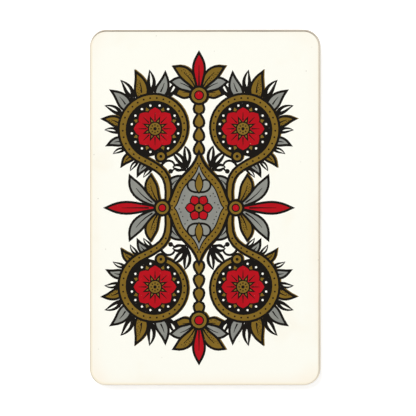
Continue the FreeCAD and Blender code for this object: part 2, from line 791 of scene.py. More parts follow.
    # Starts of a husk, the bud and the volute, and how wide a rim round the filigree has no dots
    HUSK_START = (0.0, -1.5)
    BUD_START = (0.0, 3.9)
    VOLUTE_START = (0.2, 3.9)
    CLEAR_BUD = 0.7
    CLEAR_VOLUTE = 0.75
    CLEAR_BALL = 0.45
    CLEAR_FLOWER = 3.9

    def stem(self) -> Outline:
        """The middle line of the scroll's stem.

        Returns:
            Its points, from the lozenge to the end of the scroll.
        """
        coil = spiral(self.eye, self.scroll_radii, self.scroll_degrees, self.COIL_STEPS)
        heading = (coil[1] - coil[0]) / np.linalg.norm(coil[1] - coil[0])
        start = np.asarray(self.root)
        controls = (start, start + self.lead, coil[0] - self.run_in * heading, coil[0])
        return np.vstack((bezier(controls, self.LEAD_STEPS)[:-1], coil))

    def draw(self) -> None:
        """Lays the whole ornament, from the lowest shapes to the topmost."""
        self.grounds()
        self.sprays()
        self.scrolls()
        self.rosettes()
        self.husks()
        self.lozenge()
        upper, side = (0.0, self.fan_root), (self.side_root, 0.0)
        self.fan(upper, 90, self.UPPER_FAN, self.fan_step, self.fan_boss, Repeat.TOP_BOTTOM)
        self.fan(side, 0, self.SIDE_FAN, self.side_step, self.side_boss, Repeat.LEFT_RIGHT)

    def grounds(self) -> None:
        """Lays a black ground with a ring of white dots in each scroll, and a curl beside its stem."""
        at = np.asarray(self.eye)
        radii = tuple(radius - self.border for radius in self.scroll_radii)
        self.lay([spiral(at, radii, self.scroll_degrees, self.COIL_STEPS)], Ink.BLACK, Repeat.QUARTERS)
        dot = disc((0, 0), self.ring_dot, DOT_SIDES)
        reach = self.rosette_radius + self.ring_gap
        dots = self.in_ring(dot, self.RING_DOTS, reach, Ink.STOCK, 180 / self.RING_DOTS)
        self.lay([dot + at for dot in dots], Ink.STOCK, Repeat.QUARTERS)
        start, heading = along(self.stem(), self.curl_share)
        lean, *bend = self.CURL
        path = curl(start, heading + lean, *bend)
        ball = disc(path[-1], self.curl_ball)
        self.lay([line(path, self.curl_half, self.curl_thin_share), ball], Ink.BLACK, Repeat.QUARTERS)

    def sprays(self) -> None:
        """Lays sprays of black leaves on the shoulders of the lozenge."""
        for bend in self.SPRAY:
            self.black_leaf(curl(self.spray_root, *bend), self.spray_half, self.SPRAY_FULLEST)

    def black_leaf(self, path: Outline, half_width: float, fullest: float) -> None:
        """Lays a black leaf with a white slit."""
        self.lay([leaf(path, half_width, fullest)], Ink.BLACK, Repeat.QUARTERS)
        self.lay([leaf(path[4:-1], self.slit_share * half_width)], Ink.STOCK, Repeat.QUARTERS)

    def blade(
        self,
        path: Outline,
        half_width: float,
        ink: Ink,
        repeat: Repeat = Repeat.QUARTERS,
        fullest: float = 0.4,
    ) -> None:
        """Lays a bordered leaf with its vein, and on gold with fine dots that shade one side.

        Args:
            path: Its middle line.
            half_width: Half of its greatest width.
            ink: Its colour.
            repeat: How it is repeated.
            fullest: Where it is widest, as a share of its length.
        """
        self.bordered([leaf(path, half_width, fullest)], ink, self.border, repeat)
        self.lay([line(path[3:-2:2], self.vein)], Ink.BLACK, repeat)
        if ink is Ink.GOLD:
            side = leaf(path, self.shade_share * half_width, fullest)[1 : len(path) - 2]
            shade = np.vstack((path[1:-2], side[::-1]))
            dots = self.dots(shade, self.shade_dot, self.shade_spacing, self.SHADE_SEED)
            self.lay(dots, Ink.BLACK, repeat)

    def dots(self, ground: Outline, radius: float, spacing: float, seed: int) -> list[Outline]:
        """Black dots scattered over a ground.

        Args:
            ground: The ground's outline.
            radius: Radius of a dot.
            spacing: Least distance of two.
            seed: Seed of the scatter.

        Returns:
            The dots' outlines.
        """
        mesh, ink = flat_mesh("ground", [ground]), self.inks[Ink.BLACK]
        return self.stipple.run(mesh, ink, Spacing=spacing, Dot_Radius=radius, Seed=seed)

    def scrolls(self) -> None:
        """Lays the four stems with their leaves, and a row of beads along each."""
        stem = self.stem()
        for path, half_width, _ in self.DARK.leaves(stem):
            self.black_leaf(path, half_width, self.DARK_FULLEST)
        for row in (self.BRIGHT, self.INNER):
            for path, half_width, ink in row.leaves(stem):
                self.blade(path, half_width, ink)
        thin, swelling = self.stem_half
        widths = thin + swelling * np.sin(np.pi * np.linspace(0, 1, len(stem)) ** self.STEM_SWELL_POWER)
        self.bordered([ribbon(stem, widths)], Ink.GOLD, self.border, Repeat.QUARTERS)
        self.bordered([disc(stem[-1], self.knob)], Ink.GOLD, self.border, Repeat.QUARTERS)
        self.lay([disc(stem[-1], self.knob_eye, STUD_SIDES)], Ink.BLACK, Repeat.QUARTERS)
        bead = disc((0, 0), self.bead, DOT_SIDES)
        self.lay(self.in_row(bead, stem[3:-5], self.STEM_BEADS, Ink.BLACK), Ink.BLACK, Repeat.QUARTERS)

    def in_row(self, motif: Outline, path: Outline, count: int, ink: Ink) -> list[Outline]:
        """Copies of a motif along a path.

        Args:
            motif: The motif, whose +Y goes along the path.
            path: The path.
            count: Number of copies.
            ink: The ink of the copies.

        Returns:
            The copies' outlines.
        """
        curve = bpy.data.curves.new("path", "CURVE")
        curve.dimensions = "3D"
        thread = curve.splines.new("POLY")
        thread.points.add(len(path) - 1)
        thread.points.foreach_set("co", np.pad(path, ((0, 0), (0, 2))).ravel())
        guide = bpy.data.objects.new("path", curve)
        bpy.context.scene.collection.objects.link(guide)
        copies = self.row.run(flat_mesh("motif", [motif]), self.inks[ink], Path=guide, Count=count)
        bpy.data.objects.remove(guide)
        bpy.data.curves.remove(curve)
        return copies

    def in_ring(
        self, motif: Outline, count: int, radius: float, ink: Ink, first: float = 0.0
    ) -> list[Outline]:
        """Copies of a motif round a circle about the origin.

        Args:
            motif: The motif, whose +Y points outwards.
            count: Number of copies.
            radius: Radius of the circle.
            ink: The ink of the copies.
            first: Angle of the first, in degrees.

        Returns:
            The copies' outlines.
        """
        mesh, angle = flat_mesh("motif", [motif]), math.radians(first)
        return self.ring.run(mesh, self.inks[ink], Count=count, Radius=radius, First_Angle=angle)

    def rosettes(self) -> None:
        """Lays the four rosettes, one in the eye of each scroll."""
        at = np.asarray(self.eye)
        petal = curl((0, 0), 90, self.rosette_radius - self.core, 0, steps=11)
        petal = leaf(petal, self.petal_half, self.PETAL_FULLEST)
        sepal = curl((0, 0), 90, self.rosette_radius + self.sepal_tip - self.sepal_start, 0, steps=7)
        sepal = leaf(sepal, self.sepal_half, self.SEPAL_FULLEST)
        vein_start, vein_length, vein_half = self.petal_vein
        vein = line(curl((0, vein_start), 90, vein_length, 0, steps=2), vein_half)
        dot_reach, dot_radius, middle_radius = self.core_dots
        dot = disc((0, 0), dot_radius, DOT_SIDES)
        sepals, petals, veins, dots = (
            [shape + at for shape in self.in_ring(motif, self.PETALS, reach, ink, first)]
            for motif, reach, ink, first in (
                (sepal, self.sepal_start, Ink.GOLD, 180 / self.PETALS),
                (petal, self.core, Ink.RED, 0.0),
                (vein, self.core, Ink.BLACK, 0.0),
                (dot, dot_reach, Ink.BLACK, 0.0),
            )
        )
        self.bordered(sepals, Ink.GOLD, self.fine_border, Repeat.QUARTERS)
        self.bordered(petals, Ink.RED, self.fine_border, Repeat.QUARTERS)
        self.lay(veins, Ink.BLACK, Repeat.QUARTERS)
        self.bordered([disc(at, self.core)], Ink.GOLD, self.fine_border, Repeat.QUARTERS)
        self.lay(dots + [disc(at, middle_radius, STUD_SIDES)], Ink.BLACK, Repeat.QUARTERS)

    def fan(
        self,
        root: Point,
        heading: float,
        petals: Sequence[tuple[float, Ink]],
        step: float,
        boss: Pair,
        repeat: Repeat,
    ) -> None:
        """Lays a fan of petals, the outer ones first, and the discs on its root.

        Args:
            root: Where the petals meet.
            heading: Direction of the middle petal, in degrees from +X.
            petals: Length and colour of each petal, from the middle one outwards.
            step: Degrees from one petal to the next.
            boss: Radii of the two discs.
            repeat: How the fan is repeated.
        """
        turn, gather, steps = self.FAN_BEND
        for place, (length, ink) in reversed(list(enumerate(petals))):
            for side in (1, -1) if place else (0,):
                path = curl(root, heading + side * place * step, length, side * turn, gather, steps)
                self.blade(path, self.fan_half, ink, repeat, self.FAN_FULLEST)
        self.bordered([disc(root, boss[0])], Ink.GOLD, self.border, repeat)
        self.bordered([disc(root, boss[1])], Ink.RED, self.fine_border, repeat)

    def husks(self) -> None:
        """Lays the strings of husks between the lozenge and the fans."""
        low, high = self.husk_ends
        path = np.array(((0, low), (0, high)), float)
        husk = leaf(curl(self.HUSK_START, *self.HUSK), self.husk_half, self.HUSK_FULLEST)
        for shape, ink in ((grow(husk, self.border), Ink.BLACK), (husk, Ink.GOLD)):
            self.lay(self.in_row(shape, path, self.HUSKS, ink), ink, Repeat.TOP_BOTTOM)

    def lozenge_outline(self, size: Pair = (1.0, 1.0)) -> Outline:
        """The lozenge, with four points and swelling sides.

        Args:
            size: Its size, as shares along X and Y.

        Returns:
            The outline.
        """
        reach_x, reach_y = self.lozenge_tips
        ends = ((reach_x, 0), self.lozenge_waist, (0, reach_y))
        lower, upper = (
            bezier((start, *controls, end), self.LOZENGE_STEPS)
            for start, controls, end in zip(ends, self.LOZENGE_CURVES, ends[1:])
        )
        quarter = np.vstack((lower, upper[1:]))
        half = np.vstack((quarter, quarter[-2::-1] * (-1, 1)))
        return np.vstack((half[:-1], -half[:-1])) * size

    def lozenge(self) -> None:
        """Lays the lozenge in the middle, with its border, filigree and flower."""
        self.bordered([self.lozenge_outline()], Ink.GOLD, self.lozenge_border)
        self.bordered([self.lozenge_outline(self.FIELD_SHARES)], Ink.GREY, self.fine_border)
        rail = self.lozenge_outline(self.RAIL_SHARES)[: 2 * self.LOZENGE_STEPS - 1]
        shares = np.linspace(*self.BEADED_SHARES, self.RAIL_STEPS)
        rail = np.array([along(rail, share)[0] for share in shares])
        bead = disc((0, 0), self.rail_bead, DOT_SIDES)
        self.lay(self.in_row(bead, rail, self.RAIL_BEADS, Ink.BLACK), Ink.BLACK, Repeat.QUARTERS)
        bud = leaf(curl(self.BUD_START, *self.BUD), self.bud_half, self.BUD_FULLEST)
        volute = curl(self.VOLUTE_START, *self.VOLUTE)
        ball = disc(volute[-1], self.volute_ball, STUD_SIDES)
        clear = [
            grow(bud, self.CLEAR_BUD),
            line(volute, self.CLEAR_VOLUTE, 1.0),
            grow(ball, self.CLEAR_BALL),
            disc((0, 0), self.CLEAR_FLOWER),
        ]
        studs = self.dots(self.lozenge_outline(self.STUDDED_SHARES), *self.stud, self.STUD_SEED)
        free = [stud for stud in studs if not any(inside(abs(stud), shape).any() for shape in clear)]
        self.lay(free, Ink.BLACK)
        self.lay([line(volute, self.volute_half, self.volute_thin_share), ball], Ink.BLACK, Repeat.QUARTERS)
        self.bordered([bud], Ink.GOLD, self.fine_border, Repeat.TOP_BOTTOM)
        petal = leaf(curl((0, 0), *self.FLOWER_PETAL), self.flower_half, self.FLOWER_FULLEST)
        petals = self.in_ring(petal, self.FLOWER_PETALS, self.flower_start, Ink.RED)
        self.bordered(petals, Ink.RED, self.fine_border)
        core, dot = self.flower_core
        self.bordered([disc((0, 0), core)], Ink.GOLD, self.fine_border)
        self.lay([disc((0, 0), dot, STUD_SIDES)], Ink.BLACK)


class Rank(Enum):
    """The ranks of a suit, each with its corner mark."""

    ACE = "A"
    TWO = "2"
    THREE = "3"
    FOUR = "4"
    FIVE = "5"
    SIX = "6"
    SEVEN = "7"
    EIGHT = "8"
    NINE = "9"
    TEN = "10"
    JACK = "J"
    QUEEN = "Q"
    KING = "K"


class Suit(Enum):
    """The four suits, each with its number and the ink that it is printed in."""

    SPADES = (0, Ink.BLACK)
    HEARTS = (1, Ink.RED)
    CLUBS = (2, Ink.BLACK)
    DIAMONDS = (3, Ink.RED)

    @property
    def ink(self) -> Ink:
        """The ink of its pips."""
        return self.value[1]

    def pip(self, height: float) -> list[Outline]:
        """The suit's sign, made of flat shapes that overlap, centred on the origin.

        The shapes are drawn one unit high. The heart is a well-known curve.

        Args:
            height: Its height.

        Returns:
            The shapes.
        """
        turn = np.linspace(0, 2 * np.pi, 40, endpoint=False)
        heart_y = 13 * np.cos(turn) - 5 * np.cos(2 * turn) - 2 * np.cos(3 * turn) - np.cos(4 * turn)
        heart = np.column_stack((16 * np.sin(turn) ** 3, heart_y + 2.5)) / 29
        side = bezier(((0.05, 0.1), (0.06, -0.25), (0.12, -0.42), (0.24, -0.5)), 5)
        foot = np.vstack((side, side[::-1] * (-1, 1)))
        flank = bezier(((0.38, 0), (0.24, 0.12), (0.1, 0.32), (0, 0.5)), 5)[:-1]
        other = (flank * (-1, 1))[::-1][:-1]
        lobes = [disc(middle, 0.235) for middle in ((0, 0.26), (-0.25, -0.1), (0.25, -0.1))]
        shapes = {
            Suit.SPADES: [heart * (1.0, -0.86) + (0, 0.06), foot],
            Suit.HEARTS: [heart],
            Suit.CLUBS: [*lobes, foot],
            Suit.DIAMONDS: [np.vstack([flank, other, -flank, -other])],
        }
        return [counter_clockwise(shape * height) for shape in shapes[self]]


class PipRule(MotifRule):
    """Copies of a pip on the points of a layout. Those in the lower half stand on their heads."""

    INPUTS = {"Layout": "Object"}
    LOWER_HALF = -1.0  # height under which a pip stands on its head

    def instances(self) -> Socket:
        """Adds a pip on each point of the layout.

        Returns:
            The pips.
        """
        layout = self.add("GeometryNodeObjectInfo", {"Object": self.given["Layout"]})
        place = self.add("GeometryNodeInputPosition")
        height = self.add("ShaderNodeSeparateXYZ", {0: place[0]})
        lower = self.add("ShaderNodeMath", {0: height["Y"], 1: self.LOWER_HALF}, operation="LESS_THAN")
        turn = self.add("ShaderNodeMath", {0: lower[0], 1: math.pi}, operation="MULTIPLY")
        about = self.add("ShaderNodeCombineXYZ", {"Z": turn[0]})
        return self.add(
            "GeometryNodeInstanceOnPoints",
            {"Points": layout["Geometry"], "Instance": self.given["Geometry"], "Rotation": about[0]},
        )[0]


def glyph(text: str, height: float, squeeze: float = 1.0) -> list[tuple[Outline, bool]]:
    """The outlines of a word in the plain built-in letter, centred on the origin.

    Args:
        text: The word.
        height: Height of a capital letter.
        squeeze: Share of its usual width.

    Returns:
        Each outline, and whether it is a hole in one before it.
    """
    curve = bpy.data.curves.new("glyph", "FONT")
    curve.body = text
    letter = bpy.data.objects.new("glyph", curve)
    drawn = letter.to_curve(bpy.context.evaluated_depsgraph_get())
    outlines = []
    for spline in drawn.splines:
        knots = list(spline.bezier_points)
        pieces = [
            interpolate_bezier(a.co, a.handle_right, b.handle_left, b.co, GLYPH_STEPS)[:-1]
            for a, b in zip(knots, knots[1:] + knots[:1])
        ]
        outlines.append(np.array([point[:2] for piece in pieces for point in piece]))
    letter.to_curve_clear()
    bpy.data.objects.remove(letter)
    bpy.data.curves.remove(curve)
    corners = np.vstack(outlines)
    low, high = corners.min(axis=0), corners.max(axis=0)
    scale = np.array((squeeze, 1)) * height / (high[1] - low[1])
    placed = [(outline - (low + high) / 2) * scale for outline in outlines]
    spans = [np.ptp(outline, axis=0).prod() for outline in placed]
    ways = [counter_clockwise(outline) is outline for outline in placed]
    outer = ways[int(np.argmax(spans))]
    return sorted(
        ((outline, way is not outer) for outline, way in zip(placed, ways)), key=lambda item: item[1]
    )


@dataclass(kw_only=True)
class CardFace(PrintSheet):
    """A card's printed face: pips and corner marks, crowns on a court card, a cap on a joker."""

    card: str  # the card's name, such as ace_of_spades or red_joker
    pips: PipRule  # the rule that lays out pips
    columns: float = 10.5  # distance of the outer columns of pips from the middle
    rows: float = 29.0  # distance of the outermost pips from the middle
    pip_height: float = 10.5  # height of a pip
    mark: Pair = (-23.4, 36.2)  # place of the upper left corner mark
    mark_height: float = 6.4  # height of the corner mark's letter
    mark_pip: float = 5.2  # height of the pip under it
    tail_half: float = 0.35  # half width of the tail that makes a Q of an O
    border: float = 0.4  # width of the black border of each shape
    frame_half: Pair = (18.0, 33.5)  # half sizes of the court cards' frame
    bar_half: float = 2.6  # half height of the bar across it
    bar_inset: float = 2.0  # how far inside the frame the bar ends
    bar_gem: float = 1.7  # half width of a lozenge on the bar
    gem_inset: float = 4.0  # how far inside the frame the outer lozenges lie
    crown_half: float = 9.0  # half width of a crown
    crown_root: float = 8.0  # height at which its points start
    crown_reach: float = 10.0  # length of its points
    crown_ball: float = 1.0  # radius of the ball on a point
    crown_gem: float = 0.8  # radius of a gem on its band
    cap_half: float = 10.5  # half width of the cap's band
    cap_root: float = -7.0  # height at which the points under it start
    cap_spread: float = 9.0  # distance of the outer points from the middle
    cap_reach: float = 7.0  # length of a point
    cap_point_half: float = 1.9  # half width of a point
    bell: Pair = (1.9, 0.5)  # radius of a bell, and of the dot in it
    star: Pair = (3.2, 1.3)  # radii of the star's points and of the corners between them

    # Places of the pips, as shares of columns and rows
    SIX_SHARES = ((-1, 1), (1, 1), (-1, 0), (1, 0), (-1, -1), (1, -1))
    EIGHT_SHARES = ((-1, 1), (1, 1), (-1, 1 / 3), (1, 1 / 3), (-1, -1 / 3), (1, -1 / 3), (-1, -1), (1, -1))
    PIP_SHARES = {
        Rank.TWO: ((0, 1), (0, -1)),
        Rank.THREE: ((0, 1), (0, 0), (0, -1)),
        Rank.FOUR: ((-1, 1), (1, 1), (-1, -1), (1, -1)),
        Rank.FIVE: ((-1, 1), (1, 1), (0, 0), (-1, -1), (1, -1)),
        Rank.SIX: SIX_SHARES,
        Rank.SEVEN: SIX_SHARES + ((0, 0.5),),
        Rank.EIGHT: SIX_SHARES + ((0, 0.5), (0, -0.5)),
        Rank.NINE: EIGHT_SHARES + ((0, 0),),
        Rank.TEN: EIGHT_SHARES + ((0, 2 / 3), (0, -2 / 3)),
    }
    MARK_WIDTH_SHARES = (0.9, 0.72)  # of the usual width, for a mark of one letter and of two
    MARK_DROP_SHARE = 1.2  # distance from a mark to the pip under it, as a share of its height
    TAIL = ((0.4, -1.5), -50, 2.8, 0, 1.0, 2)  # start, heading, length, turn, gather and steps
    # Size of an ace's pip, and the sizes, heights and inks of what lies on the large one
    ACE_SIZE = 1.5
    LARGE_ACE_SIZE = 2.4
    ACE_LAYERS = ((1.5, 1.0, Ink.STOCK), (1.3, 1.2, Ink.GREY), (0.8, 1.8, Ink.BLACK))
    # Lines of the court cards' frame, from the outside in: inset, corner radius and ink
    FRAME_LINES = (
        (0.0, 1.0, Ink.BLACK), (0.35, 0.7, Ink.STOCK), (0.9, 0.6, Ink.GOLD), (1.3, 0.5, Ink.STOCK),
    )
    BAR_GEMS = 7
    COURT_PIPS = ((0.0, 25.0, 8.0), (-12.0, 27.0, 5.0), (12.0, 27.0, 5.0))  # X, Y and height of each
    # Points of each rank's crown, the half width of a point, and where it is widest
    CROWNS = {Rank.JACK: (3, 1.7, 0.25), Rank.QUEEN: (4, 2.1, 0.6), Rank.KING: (5, 1.7, 0.25)}
    CROWN_TAPER_SHARE = 0.72  # how far apart the points start, as a share of crown_half
    CROWN_LEAN = 2.0  # degrees that a point leans for each millimetre
    CROWN_GEMS = 5
    GEM_SPREAD = 6.5  # distance of the outer gems from the middle
    GEM_CURVE = (7.2, 0.009)  # height of the middle gem, and the rise of the others with the square of X
    # Bands: height of the ends, how far the middle is drawn down, and half of the width
    CROWN_BAND = (8.0, 1.2, 1.5)
    CAP_BAND = (-6.0, 1.4, 1.6)
    BAND_HOLD = 4.0  # where a band is drawn down, from the middle
    BAND_STEPS = 9
    # The cap's horns: start, heading, length, turn, gather and steps of each
    SIDE_HORNS = (((5.0, -5.0), 60, 22.0, -190, 1.4, 14), ((-5.0, -5.0), 120, 22.0, 190, 1.4, 14))
    MIDDLE_HORN = ((0.0, -5.0), 90, 21.0, 60, 1.6, 12)
    HORN_HALF = (5.0, 0.5)  # half widths of a horn's ends
    CAP_POINTS = 6
    STAR_POINTS = 5

    @property
    def rank(self) -> Rank:
        """The card's rank, which a joker hasn't."""
        return Rank[self.card.split("_of_")[0].upper()]

    @property
    def suit(self) -> Suit:
        """The card's suit, which a joker hasn't."""
        return Suit[self.card.split("_of_")[1].upper()]

    def draw(self) -> None:
        """Lays what belongs on the card."""
        if self.card.endswith("joker"):
            self.joker()
            return
        self.corner_marks()
        if self.rank is Rank.ACE:
            self.ace()
        elif self.rank in self.PIP_SHARES:
            self.number_pips()
        else:
            self.court()

    def ace(self) -> None:
        """Lays the pip of an ace, which is large and decorated on the ace of spades."""
        large = self.suit is Suit.SPADES
        size = self.LARGE_ACE_SIZE if large else self.ACE_SIZE
        self.lay(self.suit.pip(self.pip_height * size), self.suit.ink)
        for size, height, ink in self.ACE_LAYERS if large else ():
            blade, foot = self.suit.pip(self.pip_height * size)
            shapes = (blade, foot) if ink is Ink.BLACK else (blade,)
            self.lay([shape + (0, height) for shape in shapes], ink)

    def number_pips(self) -> None:
        """Lays the pips of a number card, in columns and rows."""
        places = np.array(self.PIP_SHARES[self.rank]) * (self.columns, self.rows)
        mesh = bpy.data.meshes.new("layout")
        mesh.from_pydata(np.pad(places, ((0, 0), (0, 1))).tolist(), [], [])
        layout = bpy.data.objects.new("layout", mesh)
        bpy.context.scene.collection.objects.link(layout)
        pip = flat_mesh("pip", self.suit.pip(self.pip_height))
        self.lay(self.pips.run(pip, self.inks[self.suit.ink], Layout=layout), self.suit.ink)
        bpy.data.objects.remove(layout)
        bpy.data.meshes.remove(mesh)

    def corner_marks(self) -> None:
        """Lays the rank and a small pip in two opposite corners."""
        ink, mark = self.suit.ink, self.rank.value
        letter = "O" if mark == "Q" else mark
        for outline, hole in glyph(letter, self.mark_height, self.MARK_WIDTH_SHARES[len(mark) - 1]):
            self.lay([outline + self.mark], Ink.STOCK if hole else ink, Repeat.HALF_TURN)
        if mark == "Q":
            tail = line(curl(*self.TAIL), self.tail_half, 1.0)
            self.lay([tail + self.mark], ink, Repeat.HALF_TURN)
        under = (self.mark[0], self.mark[1] - self.MARK_DROP_SHARE * self.mark_height)
        self.lay([shape + under for shape in self.suit.pip(self.mark_pip)], ink, Repeat.HALF_TURN)

    def court(self) -> None:
        """Lays a framed crown and pips, twice, with a bar of lozenges between them."""
        half_x, half_y = self.frame_half
        for inset, corner, ink in self.FRAME_LINES:
            self.lay([rounded_rectangle(half_x - inset, half_y - inset, corner, 2)], ink)
        bar = np.array(((1, 1), (-1, 1), (-1, -1), (1, -1))) * (half_x - self.bar_inset, self.bar_half)
        self.bordered([bar], Ink.GOLD, self.border)
        reach = half_x - self.gem_inset
        for x in np.linspace(-reach, reach, self.BAR_GEMS):
            self.bordered([disc((x, 0), self.bar_gem, 4)], self.suit.ink, self.border)
        self.crown(*self.CROWNS[self.rank])
        for x, y, height in self.COURT_PIPS:
            self.lay([shape + (x, y) for shape in self.suit.pip(height)], self.suit.ink, Repeat.HALF_TURN)

    def crown(self, points: int, half_width: float, fullest: float) -> None:
        """Lays a crown in the upper half, with its copy in the lower.

        Args:
            points: Number of its points.
            half_width: Half width of a point.
            fullest: Where a point is widest, as a share of its length.
        """
        for x in np.linspace(-self.crown_half, self.crown_half, points):
            root = (x * self.CROWN_TAPER_SHARE, self.crown_root)
            path = curl(root, 90 - self.CROWN_LEAN * x, self.crown_reach, 0)
            self.bordered([leaf(path, half_width, fullest)], Ink.GOLD, self.border, Repeat.HALF_TURN)
            self.bordered([disc(path[-1], self.crown_ball)], Ink.RED, self.border, Repeat.HALF_TURN)
        band = self.band(self.crown_half, *self.CROWN_BAND)
        self.bordered([band], Ink.GREY, self.border, Repeat.HALF_TURN)
        height, rise = self.GEM_CURVE
        for x in np.linspace(-self.GEM_SPREAD, self.GEM_SPREAD, self.CROWN_GEMS):
            gem = disc((x, height + rise * x * x), self.crown_gem, STUD_SIDES)
            self.bordered([gem], Ink.RED, self.border, Repeat.HALF_TURN)

    def band(self, half_x: float, end_y: float, sag: float, half_width: float) -> Outline:
        """The outline of a band across a crown or cap.

        Args:
            half_x: Half of its length.
            end_y: Height of its ends.
            sag: How far its middle is drawn down.
            half_width: Half of its width.

        Returns:
            The outline.
        """
        hold, low = self.BAND_HOLD, end_y - sag
        controls = ((-half_x, end_y), (-hold, low), (hold, low), (half_x, end_y))
        return line(bezier(controls, self.BAND_STEPS), half_width, 1.0)

    def joker(self) -> None:
        """Lays a three-horned cap with bells in the middle, and a star in two corners."""
        ink, other = (Ink.RED, Ink.GOLD) if self.card == "red_joker" else (Ink.BLACK, Ink.GREY)
        bell, dot = self.bell
        for horn, colour in (*((horn, ink) for horn in self.SIDE_HORNS), (self.MIDDLE_HORN, other)):
            path = curl(*horn)
            self.bordered([ribbon(path, np.linspace(*self.HORN_HALF, len(path)))], colour, self.border)
            self.bordered([disc(path[-1], bell)], Ink.GOLD, self.border)
            self.lay([disc(path[-1], dot, STUD_SIDES)], Ink.BLACK)
        for x in np.linspace(-self.cap_spread, self.cap_spread, self.CAP_POINTS):
            path = curl((x, self.cap_root), -90, self.cap_reach, 0)
            self.bordered([leaf(path, self.cap_point_half)], other, self.border)
        self.bordered([self.band(self.cap_half, *self.CAP_BAND)], Ink.GOLD, self.border)
        number = np.arange(2 * self.STAR_POINTS)
        turn = np.radians(number * (180 / self.STAR_POINTS) + 90)
        reach = np.where(number % 2, self.star[1], self.star[0])[:, None]
        star = reach * np.column_stack((np.cos(turn), np.sin(turn)))
        self.lay([star + self.mark], ink, Repeat.HALF_TURN)


def linear(code: str) -> tuple[float, float, float, float]:
    """The linear colour of an sRGB hex value such as #7f6528."""
    shares = [int(code[place : place + 2], 16) / 255 for place in (1, 3, 5)]
    return (*(s / 12.92 if s <= 0.04045 else ((s + 0.055) / 1.055) ** 2.4 for s in shares), 1.0)


@dataclass(frozen=True)
class CardPlace:
    """Where a card lies in the frame, in millimetres."""

    middle: np.ndarray  # X and Y of its middle
    low: float  # height of its face, which lies down
    high: float  # height of its back
    skew: float  # how far it is turned from square, in radians

    @classmethod
    def of(cls, node: str) -> "CardPlace":
        """Reads a card's place. The widest of its narrow sides gives its skew.

        Args:
            node: The card's node.

        Returns:
            The place.
        """
        corners = np.array(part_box(node)) / MM
        sides = [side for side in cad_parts[node].data.polygons if abs(side.normal.z) < 0.5]
        across = max(sides, key=lambda side: side.area).normal
        skew = math.atan2(across.y, across.x) if across.x > 0 else math.atan2(-across.y, -across.x)
        return cls(corners[:, :2].mean(axis=0), corners[0, 2], corners[1, 2], skew)

    def turn(self) -> np.ndarray:
        """The matrix that turns a row of X and Y by the skew."""
        cosine, sine = math.cos(self.skew), math.sin(self.skew)
        return np.array(((cosine, sine), (-sine, cosine)))


@dataclass(frozen=True)
class CardSize:
    """The size that all cards share, in millimetres."""

    half_x: float  # half of a card's width
    half_y: float  # half of a card's length
    corner: float  # radius of its corners
    thickness: float
    pitch: float  # height from one card to the next

    @classmethod
    def from_frame(cls, card: str, next_card: str) -> "CardSize":
        """Reads the size from two cards.

        Args:
            card: A card's node.
            next_card: The node of the card above it.

        Returns:
            The size.
        """
        place = CardPlace.of(card)
        points = np.array([vertex.co[:2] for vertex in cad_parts[card].data.vertices]) / MM
        spans = np.abs((points - place.middle) @ place.turn().T)
        half_x, half_y = spans.max(axis=0)
        straight = spans[spans[:, 1] > half_y - MERGE_MM, 0].max()
        pitch = CardPlace.of(next_card).low - place.low
        return cls(half_x, half_y, half_x - straight, place.high - place.low, pitch)

    def outline(self, inset: float) -> Outline:
        """The card's outline, that far inside its cut."""
        return rounded_rectangle(self.half_x - inset, self.half_y - inset, self.corner - inset, CORNER_SIDES)


class CardFinish:
    """The node tree of a finish on cards: a principled surface and where a point lies on its card.

    Attributes:
        material: The material that the tree belongs to.
        tree: The tree.
        add: Adds a node to it.
        x: X in millimetres.
        y: Y in millimetres.
        flat: X and Y as a vector.
        number: The card's number in the deck, from 0 at the bottom.
        height: Height above the card's underside, as a share of the pitch.
    """

    def __init__(self, name: str, size: CardSize) -> None:
        """Makes the tree with the nodes that every finish needs.

        Args:
            name: The material's name.
            size: The size of the cards.
        """
        self.material = bpy.data.materials.new(name)
        self.material.use_nodes = True
        self.tree = self.material.node_tree
        self.tree.nodes.clear()
        self.add = partial(add_node, self.tree)
        place = self.add("ShaderNodeTexCoord")["Object"]
        millimetres = self.add("ShaderNodeVectorMath", {0: place, "Scale": 1 / MM}, operation="SCALE")
        axes = self.add("ShaderNodeSeparateXYZ", {0: millimetres[0]})
        self.x, self.y = axes["X"], axes["Y"]
        self.flat = self.add("ShaderNodeCombineXYZ", {"X": self.x, "Y": self.y})[0]
        air_share = (size.pitch - size.thickness) / size.pitch
        storey = self.add(
            "ShaderNodeMath", {0: axes["Z"], 1: 1 / size.pitch, 2: air_share / 2}, operation="MULTIPLY_ADD"
        )[0]
        self.number = self.add("ShaderNodeMath", {0: storey}, operation="FLOOR")[0]
        self.height = self.add("ShaderNodeMath", {0: storey}, operation="FRACT")[0]

    def surface(self, **inputs: object) -> bpy.types.Material:
        """Ends the tree in a principled surface.

        Args:
            inputs: The surface's inputs, with _ for a space.

        Returns:
            The material.
        """
        named = {name.replace("_", " "): value for name, value in inputs.items()}
        shader = self.add("ShaderNodeBsdfPrincipled", named)
        self.add("ShaderNodeOutputMaterial", {"Surface": shader[0]})
        return self.material

    def mottle(self, grain: float, low: float, high: float, detail: float = 2.0) -> Socket:
        """A soft pattern of its own on each card, from 0 to 1.

        Args:
            grain: Width of its patches, in millimetres.
            low: The noise that becomes 0.
            high: The noise that becomes 1.
            detail: How much finer detail it has.

        Returns:
            The pattern.
        """
        cloud = self.add(
            "ShaderNodeTexNoise",
            {"Vector": self.flat, "W": self.number, "Scale": 1 / grain, "Detail": detail},
            noise_dimensions="4D",
        )
        return self.add(
            "ShaderNodeMapRange",
            {"Value": cloud[0], "From Min": low, "From Max": high},
            interpolation_type="SMOOTHSTEP",
        )[0]


